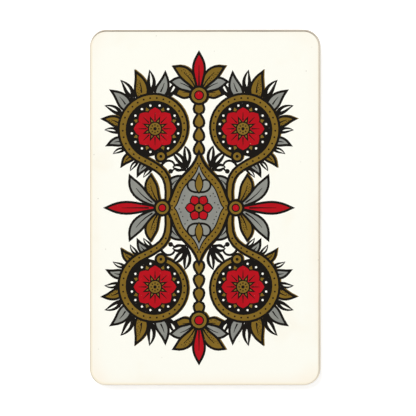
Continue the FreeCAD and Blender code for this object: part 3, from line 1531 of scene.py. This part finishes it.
@dataclass(frozen=True)
class CardStock:
    """Bare card: pasted two-ply board with a clay coat and a thin varnish.

    It is an even, slightly warm white with a dull sheen, tans from the cut edges inwards and most at
    the corners, which hands touch, and with use gets faint stains and a few specks.
    """

    fresh: str = "#fffef3"  # colour of the coat in the middle
    tanned: str = "#fff6e5"  # colour of a corner that is tanned most
    rubbed: str = "#fbf2da"  # colour of the thin line along the rim, where the coat is rubbed
    stained: str = "#fdf9ea"  # colour of the stains
    speck: str = "#8f7f6b"  # colour of the specks
    tan_reach: float = 4.0  # how far the tan reaches in from a straight edge, in millimetres
    tan_corner: float = 9.0  # radius of the corners of the rounder outline that it follows
    tan_share: float = 0.45  # share of the lower right corner's tan that the upper left one has
    rubbed_reach: float = 0.7  # how far from the cut the rubbed line reaches
    tan_grain: float = 14.0  # width of the patches of more or less tan
    tan_noise: Pair = (0.2, 0.62)  # the noise that gives no tan, and the noise that gives all of it
    stain_grain: float = 11.2  # width of the stains
    stain_noise: Pair = (0.56, 0.8)  # the same as tan_noise, for the stains
    speck_spacing: float = 15.0  # distance between specks
    speck_radius: float = 0.17  # radius of a speck
    rub_noise: Pair = (0.35, 0.7)  # the same as tan_noise, for where hands have rubbed the varnish
    roughnesses: Pair = (0.54, 0.66)  # roughness of the varnish, fresh and rubbed
    tooth_grain: float = 0.35  # width of the board's tooth
    tooth_noise: Pair = (0.2, 0.8)  # the same as tan_noise, for the tooth
    tooth_height: float = 0.01  # height of the tooth
    tooth_strength: float = 0.12  # how much of it the coat lets through

    CARD_STEP = 200.0  # millimetres from one card's part of a pattern to the next's

    def material(self, size: CardSize) -> bpy.types.Material:
        """Makes the finish.

        Args:
            size: The size of the cards.

        Returns:
            The material.
        """
        finish = CardFinish("clay_coated_card", size)
        edge = finish.add(
            "ShaderNodeMapRange",
            {
                "Value": self.inset(finish, size, self.tan_corner),
                "From Min": self.tan_reach,
                "From Max": (size.corner - self.tan_corner) * (math.sqrt(2) - 1),
            },
            interpolation_type="SMOOTHSTEP",
        )[0]
        # More tan towards the lower right corner than towards the upper left one
        slope = finish.add("ShaderNodeMath", {0: finish.x, 1: finish.y}, operation="SUBTRACT")[0]
        tan_toward_lower_right = finish.add(
            "ShaderNodeMapRange",
            {"Value": slope, "From Min": -size.half_y, "From Max": size.half_y, "To Min": self.tan_share},
        )[0]
        tan = edge
        for factor in (tan_toward_lower_right, finish.mottle(self.tan_grain, *self.tan_noise)):
            tan = finish.add("ShaderNodeMath", {0: tan, 1: factor}, operation="MULTIPLY")[0]
        coat = finish.add(
            "ShaderNodeMix", {0: tan, 6: linear(self.fresh), 7: linear(self.tanned)}, data_type="RGBA"
        )[2]
        rim = finish.add(
            "ShaderNodeMapRange",
            {
                "Value": self.inset(finish, size, size.corner),
                "From Min": self.rubbed_reach,
                "From Max": PlayingCard.BACK_INSET,
            },
        )[0]
        stains = finish.mottle(self.stain_grain, *self.stain_noise)
        for share, colour in ((stains, self.stained), (rim, self.rubbed), (self.specks(finish), self.speck)):
            coat = finish.add("ShaderNodeMix", {0: share, 6: coat, 7: linear(colour)}, data_type="RGBA")[2]
        return finish.surface(
            Base_Color=coat,
            Roughness=self.roughness(finish),
            Normal=self.tooth(finish),
            Specular_IOR_Level=SHEEN_LEVEL,
        )

    def inset(self, finish: CardFinish, size: CardSize, corner: float) -> Socket:
        """How far a point near the rim lies inside a rounded outline as large as the card.

        Args:
            finish: The finish to add to.
            size: The size of the cards.
            corner: Radius of the outline's corners. Further in than that, it is all that is given.

        Returns:
            The distance, in millimetres.
        """
        middles = (size.half_x - corner, size.half_y - corner, 0.0)
        spread = finish.add("ShaderNodeVectorMath", {0: finish.flat}, operation="ABSOLUTE")[0]
        past = finish.add("ShaderNodeVectorMath", {0: spread, 1: middles}, operation="SUBTRACT")[0]
        outer = finish.add("ShaderNodeVectorMath", {0: past, 1: (0.0, 0.0, 0.0)}, operation="MAXIMUM")[0]
        reach = finish.add("ShaderNodeVectorMath", {0: outer}, operation="LENGTH")["Value"]
        return finish.add("ShaderNodeMath", {0: corner, 1: reach}, operation="SUBTRACT")[0]

    def specks(self, finish: CardFinish) -> Socket:
        """Adds specks of dirt. Each card has its own, some of them fainter.

        Args:
            finish: The finish to add to.

        Returns:
            How much of a speck a point shows.
        """
        own = finish.add(
            "ShaderNodeVectorMath",
            {0: finish.number, 1: (self.CARD_STEP, self.CARD_STEP, 0), 2: finish.flat},
            operation="MULTIPLY_ADD",
        )[0]
        cells = finish.add(
            "ShaderNodeTexVoronoi",
            {"Vector": own, "Scale": 1 / self.speck_spacing},
            voronoi_dimensions="2D",
        )
        return finish.add(
            "ShaderNodeMapRange",
            {
                "Value": cells["Distance"],
                "From Min": self.speck_radius / self.speck_spacing,
                "From Max": 0.0,
                "To Max": cells["Color"],
            },
        )[0]

    def roughness(self, finish: CardFinish) -> Socket:
        """The varnish's roughness: duller where hands have rubbed it.

        Args:
            finish: The finish to add to.

        Returns:
            The roughness.
        """
        rubbed = finish.mottle(self.tan_grain, *self.rub_noise)
        fresh, dull = self.roughnesses
        return finish.add("ShaderNodeMapRange", {"Value": rubbed, "To Min": fresh, "To Max": dull})[0]

    def tooth(self, finish: CardFinish) -> Socket:
        """Adds the board's faint tooth, which its coat doesn't quite hide.

        Args:
            finish: The finish to add to.

        Returns:
            The normal.
        """
        fibres = finish.mottle(self.tooth_grain, *self.tooth_noise)
        return finish.add(
            "ShaderNodeBump",
            {"Strength": self.tooth_strength, "Distance": self.tooth_height * MM, "Height": fibres},
        )[0]


@dataclass(frozen=True)
class PrintingInk:
    """Offset ink under the card's varnish: flat, dense colour in a film too thin to stand up.

    The film is a little uneven, so the colour drifts between full and lean over a few millimetres,
    with fine pinholes where the coat shows through.
    """

    name: str
    full: str  # colour where the film is full
    lean: str  # colour where it is lean
    drift_grain: float = 3.0  # width of the patches of lean film, in millimetres
    drift_noise: Pair = (0.3, 0.75)  # the noise that gives full film, and the noise that gives lean film
    pinhole_grain: float = 0.5  # width of the pinholes, in millimetres, drawn coarse enough to show
    pinhole_noise: Pair = (0.66, 1.0)  # the noise where a pinhole starts, and where it is open
    roughnesses: Pair = (0.52, 0.62)  # roughness of the varnish on full and on lean film

    def material(self, size: CardSize) -> bpy.types.Material:
        """Makes the finish.

        Args:
            size: The size of the cards.

        Returns:
            The material.
        """
        finish = CardFinish(self.name, size)
        drift = finish.mottle(self.drift_grain, *self.drift_noise)
        film = finish.add(
            "ShaderNodeMix", {0: drift, 6: linear(self.full), 7: linear(self.lean)}, data_type="RGBA"
        )[2]
        pinholes = finish.mottle(self.pinhole_grain, *self.pinhole_noise)
        colour = finish.add(
            "ShaderNodeMix", {0: pinholes, 6: film, 7: linear(CardStock.tanned)}, data_type="RGBA"
        )[2]
        full, lean = self.roughnesses
        roughness = finish.add("ShaderNodeMapRange", {"Value": drift, "To Min": full, "To Max": lean})[0]
        return finish.surface(Base_Color=colour, Roughness=roughness, Specular_IOR_Level=SHEEN_LEVEL)


@dataclass(frozen=True)
class CutEdge:
    """The die-cut edge: two plies of raw board with a grey line of paste between them.

    The cut is matt and porous, so it takes up dirt from hands: on each card as much as it was
    played, and most on the rolled rim of the back. Painted shade darkens the rim as well: most at
    the top, then at the right, and least at the left and the bottom.
    """

    board: str = "#fbf2e0"  # colour of clean board
    worn: str = "#d9cebb"  # colour of the board of a card that was played most
    paste: str = "#b3a898"  # colour of the paste
    grime: str = "#55422f"  # colour of the dirt, and of the painted shade on the rim
    paste_height_share: float = 0.42  # height of the paste's middle, as a share of the pitch
    paste_width_share: float = 0.16  # half of the paste's width, as a share of the pitch
    paste_share: float = 0.7  # how much of the paste's colour shows
    worn_power: float = 2.0  # over 1 where few cards are much played
    rim_shares: Pair = (0.6, 0.86)  # heights between which the rim's dirt and painted shade set in, as shares of the pitch
    wall_share: float = 0.12  # share of the rim's dirt and painted shade that the wall has
    soil_shares: Pair = (0.85, 1.0)  # least and most dirt of a card
    patch_share: float = 0.85  # least dirt within a card's patches
    clean_share: float = 0.2  # share of the top edge's dirt and painted shade that the left edge has
    right_share: float = 0.45  # share of it that the right edge has
    bottom_share: float = 0.4  # share of the sides' dirt and painted shade that the bottom edge has
    dirt_grain: float = 9.0  # width of the patches of dirt, in millimetres
    dirt_noise: Pair = (0.2, 0.7)  # the noise that gives the least dirt, and the noise that gives the most
    dirt_detail: float = 4.0  # how much finer detail the patches have
    roughness: float = 0.85  # roughness of the raw board

    def material(self, size: CardSize) -> bpy.types.Material:
        """Makes the finish.

        Args:
            size: The size of the cards.

        Returns:
            The material.
        """
        finish = CardFinish("die_cut_board", size)
        chance = finish.add("ShaderNodeTexWhiteNoise", {"W": finish.number}, noise_dimensions="1D")
        draws = finish.add("ShaderNodeSeparateColor", {0: chance["Color"]})
        colour = finish.add(
            "ShaderNodeMix",
            {
                0: self.soil(finish, size, draws["Green"]),
                6: self.plies(finish, draws["Red"]),
                7: linear(self.grime),
            },
            data_type="RGBA",
        )[2]
        return finish.surface(Base_Color=colour, Roughness=self.roughness, Specular_IOR_Level=SHEEN_LEVEL)

    def plies(self, finish: CardFinish, chance: Socket) -> Socket:
        """The colour of the two plies and the paste between them.

        Args:
            finish: The finish to add to.
            chance: The card's own draw from 0 to 1, for how worn it is.

        Returns:
            The colour.
        """
        played = finish.add("ShaderNodeMath", {0: chance, 1: self.worn_power}, operation="POWER")[0]
        board = finish.add(
            "ShaderNodeMix", {0: played, 6: linear(self.board), 7: linear(self.worn)}, data_type="RGBA"
        )[2]
        above = finish.add(
            "ShaderNodeMath", {0: finish.height, 1: self.paste_height_share}, operation="SUBTRACT"
        )[0]
        off = finish.add("ShaderNodeMath", {0: above}, operation="ABSOLUTE")[0]
        seam = finish.add(
            "ShaderNodeMapRange",
            {"Value": off, "From Min": self.paste_width_share, "From Max": 0.0, "To Max": self.paste_share},
            interpolation_type="SMOOTHSTEP",
        )[0]
        return finish.add("ShaderNodeMix", {0: seam, 6: board, 7: linear(self.paste)}, data_type="RGBA")[2]

    def soil(self, finish: CardFinish, size: CardSize, chance: Socket) -> Socket:
        """The share of dirt and painted shade on the edge. The painted shade makes it darkest at the top,
        then at the right, and lightest at the left and the bottom.

        Args:
            finish: The finish to add to.
            size: The size of the cards.
            chance: The card's own draw from 0 to 1, for how dirty it is.

        Returns:
            The share.
        """
        # Painted shade: darker towards the right and most towards the top, lighter towards the bottom
        right = finish.add(
            "ShaderNodeMapRange",
            {
                "Value": finish.x,
                "From Min": -size.half_x,
                "From Max": size.half_x,
                "To Min": self.clean_share,
                "To Max": self.right_share,
            },
        )[0]
        top = finish.add(
            "ShaderNodeMapRange",
            {"Value": finish.y, "From Min": size.half_y - size.corner, "From Max": size.half_y - size.pitch},
        )[0]
        top_right_painted_shade = finish.add("ShaderNodeMath", {0: right, 1: top}, operation="MAXIMUM")[0]
        bottom = finish.add(
            "ShaderNodeMapRange",
            {
                "Value": finish.y,
                "From Min": size.pitch - size.half_y,
                "From Max": size.corner - size.half_y,
                "To Min": self.bottom_share,
            },
        )[0]
        low, high = self.rim_shares
        rim = finish.add(
            "ShaderNodeMapRange",
            {"Value": finish.height, "From Min": low, "From Max": high, "To Min": self.wall_share},
        )[0]
        cloud = finish.mottle(self.dirt_grain, *self.dirt_noise, self.dirt_detail)
        patches = finish.add("ShaderNodeMapRange", {"Value": cloud, "To Min": self.patch_share})[0]
        least, most = self.soil_shares
        soil = finish.add("ShaderNodeMapRange", {"Value": chance, "To Min": least, "To Max": most})[0]
        for factor in (top_right_painted_shade, bottom, rim, patches):
            soil = finish.add("ShaderNodeMath", {0: soil, 1: factor}, operation="MULTIPLY")[0]
        return soil


@dataclass(frozen=True)
class BakeSheet:
    """A card's UV map: a tile for each ink and one for the edge, so that no two colours meet on it."""

    side: float = 186.0  # side of the whole map, in millimetres of card
    tile: Pair = (62.0, 92.0)  # width and height of a tile
    margin: float = 2.0  # free rim of a tile
    wall_stretch: float = 18.0  # how much wider the edge is drawn than it is

    COLUMNS = 3  # tiles side by side

    def corner(self, inks: np.ndarray) -> np.ndarray:
        """The lower left corner of each ink's tile."""
        return np.column_stack((inks % self.COLUMNS, inks // self.COLUMNS)) * self.tile + self.margin

    def flat(self, points: np.ndarray, inks: np.ndarray, size: CardSize) -> np.ndarray:
        """The map's points for points of a flat side, each in the tile of its ink."""
        return (points + (size.half_x, size.half_y) + self.corner(inks)) / self.side

    def wall(self, ring: Outline, depths: np.ndarray) -> np.ndarray:
        """The map's points for the quads of the wall, a strip for each side of the card.

        Args:
            ring: The card's outline, a corner and then a straight side each time.
            depths: How far each ring lies from the back's rim, along the wall.

        Returns:
            Four corners for each quad, ring by ring.
        """
        run = np.linalg.norm(np.roll(ring, -1, axis=0) - ring, axis=1)
        ends = np.cumsum(run)
        strip = np.arange(len(ring)) // (CORNER_SIDES + 1)
        starts = ends - run
        starts, ends = (place - starts[strip * (CORNER_SIDES + 1)] for place in (starts, ends))
        left = strip * (depths[-1] * self.wall_stretch + self.margin)
        quads = [
            np.stack([
                np.column_stack((left + depth * self.wall_stretch, place))
                for depth, place in ((upper, starts), (lower, starts), (lower, ends), (upper, ends))
            ], axis=1)
            for upper, lower in zip(depths, depths[1:])
        ]
        return (np.vstack(quads) + self.corner(np.array([Ink.EDGE.value]))) / self.side


@dataclass
class PlayingCard:
    """One card: a printed back and a printed face, joined by the rolled and cut edge.

    The die presses the back's rim down before it cuts through, which leaves a soft roll there and
    a sharp edge round the face.
    """

    node: str  # the card's node and body
    size: CardSize  # the size that all cards share
    back: Partition  # the printed back
    face: Partition  # the printed face, as it reads when the card is turned over
    bake_sheet: BakeSheet = BakeSheet()  # its UV map

    BACK_INSET = 0.32  # how far inside the cut the flat back ends, in millimetres
    FACE_INSET = 0.03  # the same of the flat face
    # The edge's section, from the back's rim to the face's: distance in from the cut, and depth
    # below the back as a share of the thickness
    SECTION = ((BACK_INSET, 0.0), (0.17, 0.1), (0.06, 0.3), (0.0, 0.55), (0.0, 0.88), (FACE_INSET, 1.0))
    CUT_RING = 3  # the first row of the section that lies on the cut itself

    def build(self) -> bpy.types.Object:
        """Makes the closed mesh of the card, where its node lies.

        Its points are those of the back, then of the rings of the edge, then of the face.

        Returns:
            The card, in the scene.
        """
        rings = [self.size.outline(inset) for inset, _ in self.SECTION]
        heights = [(1 - depth) * self.size.thickness for _, depth in self.SECTION]
        layers = [self.back.points, *rings[1:-1], self.face.points * (-1, 1)]
        counts = [len(layer) for layer in layers]
        starts = np.cumsum([0] + counts)
        flat, lifts = np.vstack(layers), np.repeat(heights, counts)
        gaps = layers[-1][self.face.rim][None] - rings[-1][:, None]
        face_rim = self.face.rim[np.abs(gaps).sum(axis=2).argmin(axis=1)] + starts[-2]
        ring_loops = [start + np.arange(count) for start, count in zip(starts[1:-2], counts[1:-1])]
        loops = [self.back.rim, *ring_loops, face_rim]
        quads = np.vstack([
            np.column_stack((upper, lower, np.roll(lower, -1), np.roll(upper, -1)))
            for upper, lower in zip(loops, loops[1:])
        ])
        triangles = np.vstack((self.back.triangles, self.face.triangles + starts[-2]))
        inks = np.concatenate((self.back.inks, self.face.inks, np.full(len(quads), Ink.EDGE.value)))
        depths = np.concatenate(([0], np.cumsum([
            math.hypot(a[0] - b[0], (b[1] - a[1]) * self.size.thickness)
            for a, b in zip(self.SECTION, self.SECTION[1:])
        ])))
        tri_inks = np.repeat(inks[: len(triangles)], 3)
        uv = np.vstack((
            self.bake_sheet.flat(flat[triangles.ravel()], tri_inks, self.size),
            self.bake_sheet.wall(rings[self.CUT_RING], depths).reshape(-1, 2),
        ))
        place = CardPlace.of(self.node)
        placed = np.column_stack((flat @ place.turn() + place.middle, lifts + place.low)) * MM
        return self.object(placed, triangles, quads, inks, uv)

    def object(
        self, points: np.ndarray, triangles: np.ndarray, quads: np.ndarray, inks: np.ndarray, uv: np.ndarray
    ) -> bpy.types.Object:
        """Makes the object from its arrays.

        Args:
            points: The points, in metres.
            triangles: The flat sides.
            quads: The edge.
            inks: The ink value of each triangle and then of each quad.
            uv: The UV map's point for each corner of each face.

        Returns:
            The new object, in the scene.
        """
        mesh = bpy.data.meshes.new(f"printed_{self.node}")
        corners = np.concatenate((triangles.ravel(), quads.ravel()))
        first = np.concatenate((
            np.arange(len(triangles)) * 3, len(triangles) * 3 + np.arange(len(quads)) * 4
        ))
        mesh.vertices.add(len(points))
        mesh.vertices.foreach_set("co", points.ravel())
        mesh.loops.add(len(corners))
        mesh.loops.foreach_set("vertex_index", corners)
        mesh.polygons.add(len(inks))
        mesh.polygons.foreach_set("loop_start", first)
        mesh.polygons.foreach_set("material_index", inks)
        mesh.polygons.foreach_set("use_smooth", inks == Ink.EDGE.value)
        mesh.update(calc_edges=True)
        mesh.uv_layers.new(name="OFBake").data.foreach_set("uv", uv.ravel())
        piece = bpy.data.objects.new(mesh.name, mesh)
        bpy.context.scene.collection.objects.link(piece)
        return piece

    def dress(self, piece: bpy.types.Object, inks: Inks) -> None:
        """Gives the card its finishes, and its place in the frame.

        Args:
            piece: The card, as built.
            inks: The material of each ink.
        """
        for ink in Ink:
            piece.data.materials.append(inks[ink])
        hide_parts(self.node)
        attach(piece, self.node)


@dataclass
class Deck:
    """All the cards, from the bottom one up, with one design of back."""

    cards: list[str]  # the cards' nodes, in that order
    size: CardSize  # the size that all cards share
    inks: Inks  # the material of each ink
    print_shift: Pair = (-1.45, 0.0)  # how far the back's print lies off the middle of the card

    def build(self) -> Iterable[bpy.types.Object]:
        """Builds and dresses the cards one by one.

        Returns:
            The cards, from the bottom one up.
        """
        back_rim = self.size.outline(PlayingCard.BACK_INSET)
        face_rim = self.size.outline(PlayingCard.FACE_INSET)
        back = BackOrnament(rim=back_rim, inks=self.inks, shift=self.print_shift).partition()
        pips = PipRule()
        for node in self.cards:
            face = CardFace(rim=face_rim, inks=self.inks, card=node, pips=pips).partition()
            card = PlayingCard(node, self.size, back, face)
            piece = card.build()
            card.dress(piece, self.inks)
            yield piece


@dataclass
class Studio:
    """The white table, the soft light and the camera straight above the deck."""

    top: CardPlace  # where the top card lies
    lens: float = 300.0  # focal length, in millimetres
    sensor: float = 36.0  # width of the camera's sensor, in millimetres
    sight: float = 20.0  # how far the camera sees, in metres
    # Width that the camera sees at the height of the top card's back, in millimetres
    view_width: float = 103.1
    # Where the middle of the view falls, from the middle of the top card, in millimetres
    aim: Pair = (0.78, -0.04)
    table_half: float = 4.0  # half of the table's width, in metres
    table_drop: float = 0.05 * MM  # how far the table lies below the bottom card, in metres
    sky_level: float = 0.36  # how much the world lights the deck
    table_glow: float = 0.57  # light that the table itself shows the camera near the deck
    glow_reach: Pair = (0.3, 1.2)  # distances between which that rises to white, where the lamps don't reach
    table_white: float = 0.8  # share of the light on it that the table gives back to the deck
    table_shade: float = 0.75  # share of that light that it shows the camera, which is where shadows show
    lamp_distance: float = 1.2  # distance of the lamps from the deck, in metres
    # Each lamp's direction from the deck, its side and its power, in metres and watts
    lamps: tuple[tuple[tuple[float, float, float], float, float], ...] = (
        ((-0.06, 0.1, 1.0), 0.1, 5.2), ((-0.6, 0.7, 0.4), 0.9, 5.8), ((0.7, -0.6, 0.4), 0.9, 5.2)
    )

    def build(self) -> None:
        """Sets up the camera, the light and the table."""
        bpy.context.scene.view_settings.view_transform = "Standard"
        self.camera()
        self.sky()
        for number, (direction, side, power) in enumerate(self.lamps):
            self.lamp(f"softbox_{number}", Vector(direction).normalized() * self.lamp_distance, side, power)
        self.table()

    def camera(self) -> None:
        """Adds the camera, with +Y upwards in the picture."""
        data = bpy.data.cameras.new("camera")
        data.lens = self.lens
        data.sensor_width = self.sensor
        data.clip_end = self.sight
        camera = bpy.data.objects.new("camera", data)
        x, y = self.top.middle + self.aim
        camera.location = Vector((x, y, self.top.high + self.view_width * self.lens / self.sensor)) * MM
        bpy.context.scene.collection.objects.link(camera)
        bpy.context.scene.camera = camera

    def lamp(self, name: str, place: Vector, side: float, power: float) -> None:
        """Adds a square softbox that faces the deck.

        Args:
            name: Its name.
            place: Where it hangs.
            side: Its side.
            power: Its power.
        """
        data = bpy.data.lights.new(name, "AREA")
        data.size = side
        data.energy = power
        lamp = bpy.data.objects.new(name, data)
        lamp.location = place
        lamp.rotation_euler = place.to_track_quat("Z", "Y").to_euler()
        bpy.context.scene.collection.objects.link(lamp)

    @staticmethod
    def seen(tree: bpy.types.NodeTree) -> Socket:
        """Adds the test for rays that end at the eye: straight, mirrored or through glass.

        Args:
            tree: The tree to add to.

        Returns:
            1 for such a ray, or else 0.
        """
        add = partial(add_node, tree)
        path = add("ShaderNodeLightPath")
        seen = path["Is Camera Ray"]
        for kind in ("Is Glossy Ray", "Is Transmission Ray"):
            seen = add("ShaderNodeMath", {0: seen, 1: path[kind]}, operation="MAXIMUM")[0]
        return seen

    def sky(self) -> None:
        """Makes the world white to the eye, and a soft even light to the deck."""
        world = bpy.data.worlds.new("white_room")
        bpy.context.scene.world = world
        world.use_nodes = True
        tree = world.node_tree
        tree.nodes.clear()
        add = partial(add_node, tree)
        level = add(
            "ShaderNodeMapRange", {"Value": self.seen(tree), "To Min": self.sky_level, "To Max": 1.0}
        )
        light = add("ShaderNodeBackground", {"Color": (1, 1, 1, 1), "Strength": level[0]})
        add("ShaderNodeOutputWorld", {"Surface": light[0]})

    def table(self) -> None:
        """Adds the white table top, which keeps the deck's shadow."""
        h = self.table_half
        z = CAD_BOX[0][2] - self.table_drop
        mesh = bpy.data.meshes.new("table")
        mesh.from_pydata([(-h, -h, z), (h, -h, z), (h, h, z), (-h, h, z)], [], [(0, 1, 2, 3)])
        table = bpy.data.objects.new("table", mesh)
        bpy.context.scene.collection.objects.link(table)
        # White laminate: matt and even, with nothing on it but the deck's shadow
        material = bpy.data.materials.new("white_laminate")
        material.use_nodes = True
        tree = material.node_tree
        tree.nodes.clear()
        add = partial(add_node, tree)
        seen = self.seen(tree)
        share = add(
            "ShaderNodeMapRange", {"Value": seen, "To Min": self.table_white, "To Max": self.table_shade}
        )
        shade = add("ShaderNodeBsdfDiffuse", {"Color": share[0]})
        place = add("ShaderNodeTexCoord")["Object"]
        away = add("ShaderNodeVectorMath", {0: place}, operation="LENGTH")["Value"]
        near, far = self.glow_reach
        level = add(
            "ShaderNodeMapRange",
            {"Value": away, "From Min": near, "From Max": far, "To Min": self.table_glow},
        )[0]
        glow = add("ShaderNodeMath", {0: seen, 1: level}, operation="MULTIPLY")
        light = add("ShaderNodeEmission", {"Strength": glow[0]})
        both = add("ShaderNodeAddShader", {0: shade[0], 1: light[0]})
        add("ShaderNodeOutputMaterial", {"Surface": both[0]})
        mesh.materials.append(material)


def main() -> None:
    """Builds the deck and the studio."""
    logging.basicConfig(level=logging.INFO, format="%(name)s: %(message)s")
    cards = sorted(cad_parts, key=lambda name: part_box(name)[0].z)
    size = CardSize.from_frame(cards[0], cards[1])
    inks = {
        Ink.STOCK: CardStock().material(size),
        Ink.BLACK: PrintingInk("black_offset_ink", "#0a0704", "#130f0a").material(size),
        Ink.GOLD: PrintingInk("old_gold_offset_ink", "#7b601d", "#856926").material(size),
        Ink.GREY: PrintingInk("warm_grey_offset_ink", "#888983", "#93948c").material(size),
        Ink.RED: PrintingInk("carmine_offset_ink", "#b00716", "#ba101d").material(size),
        Ink.EDGE: CutEdge().material(size),
    }
    for piece in Deck(cards, size, inks).build():
        LOG.info("%s: %d faces", piece.name, len(piece.data.polygons))
    Studio(CardPlace.of(cards[-1])).build()


if __name__ == "__main__":
    main()
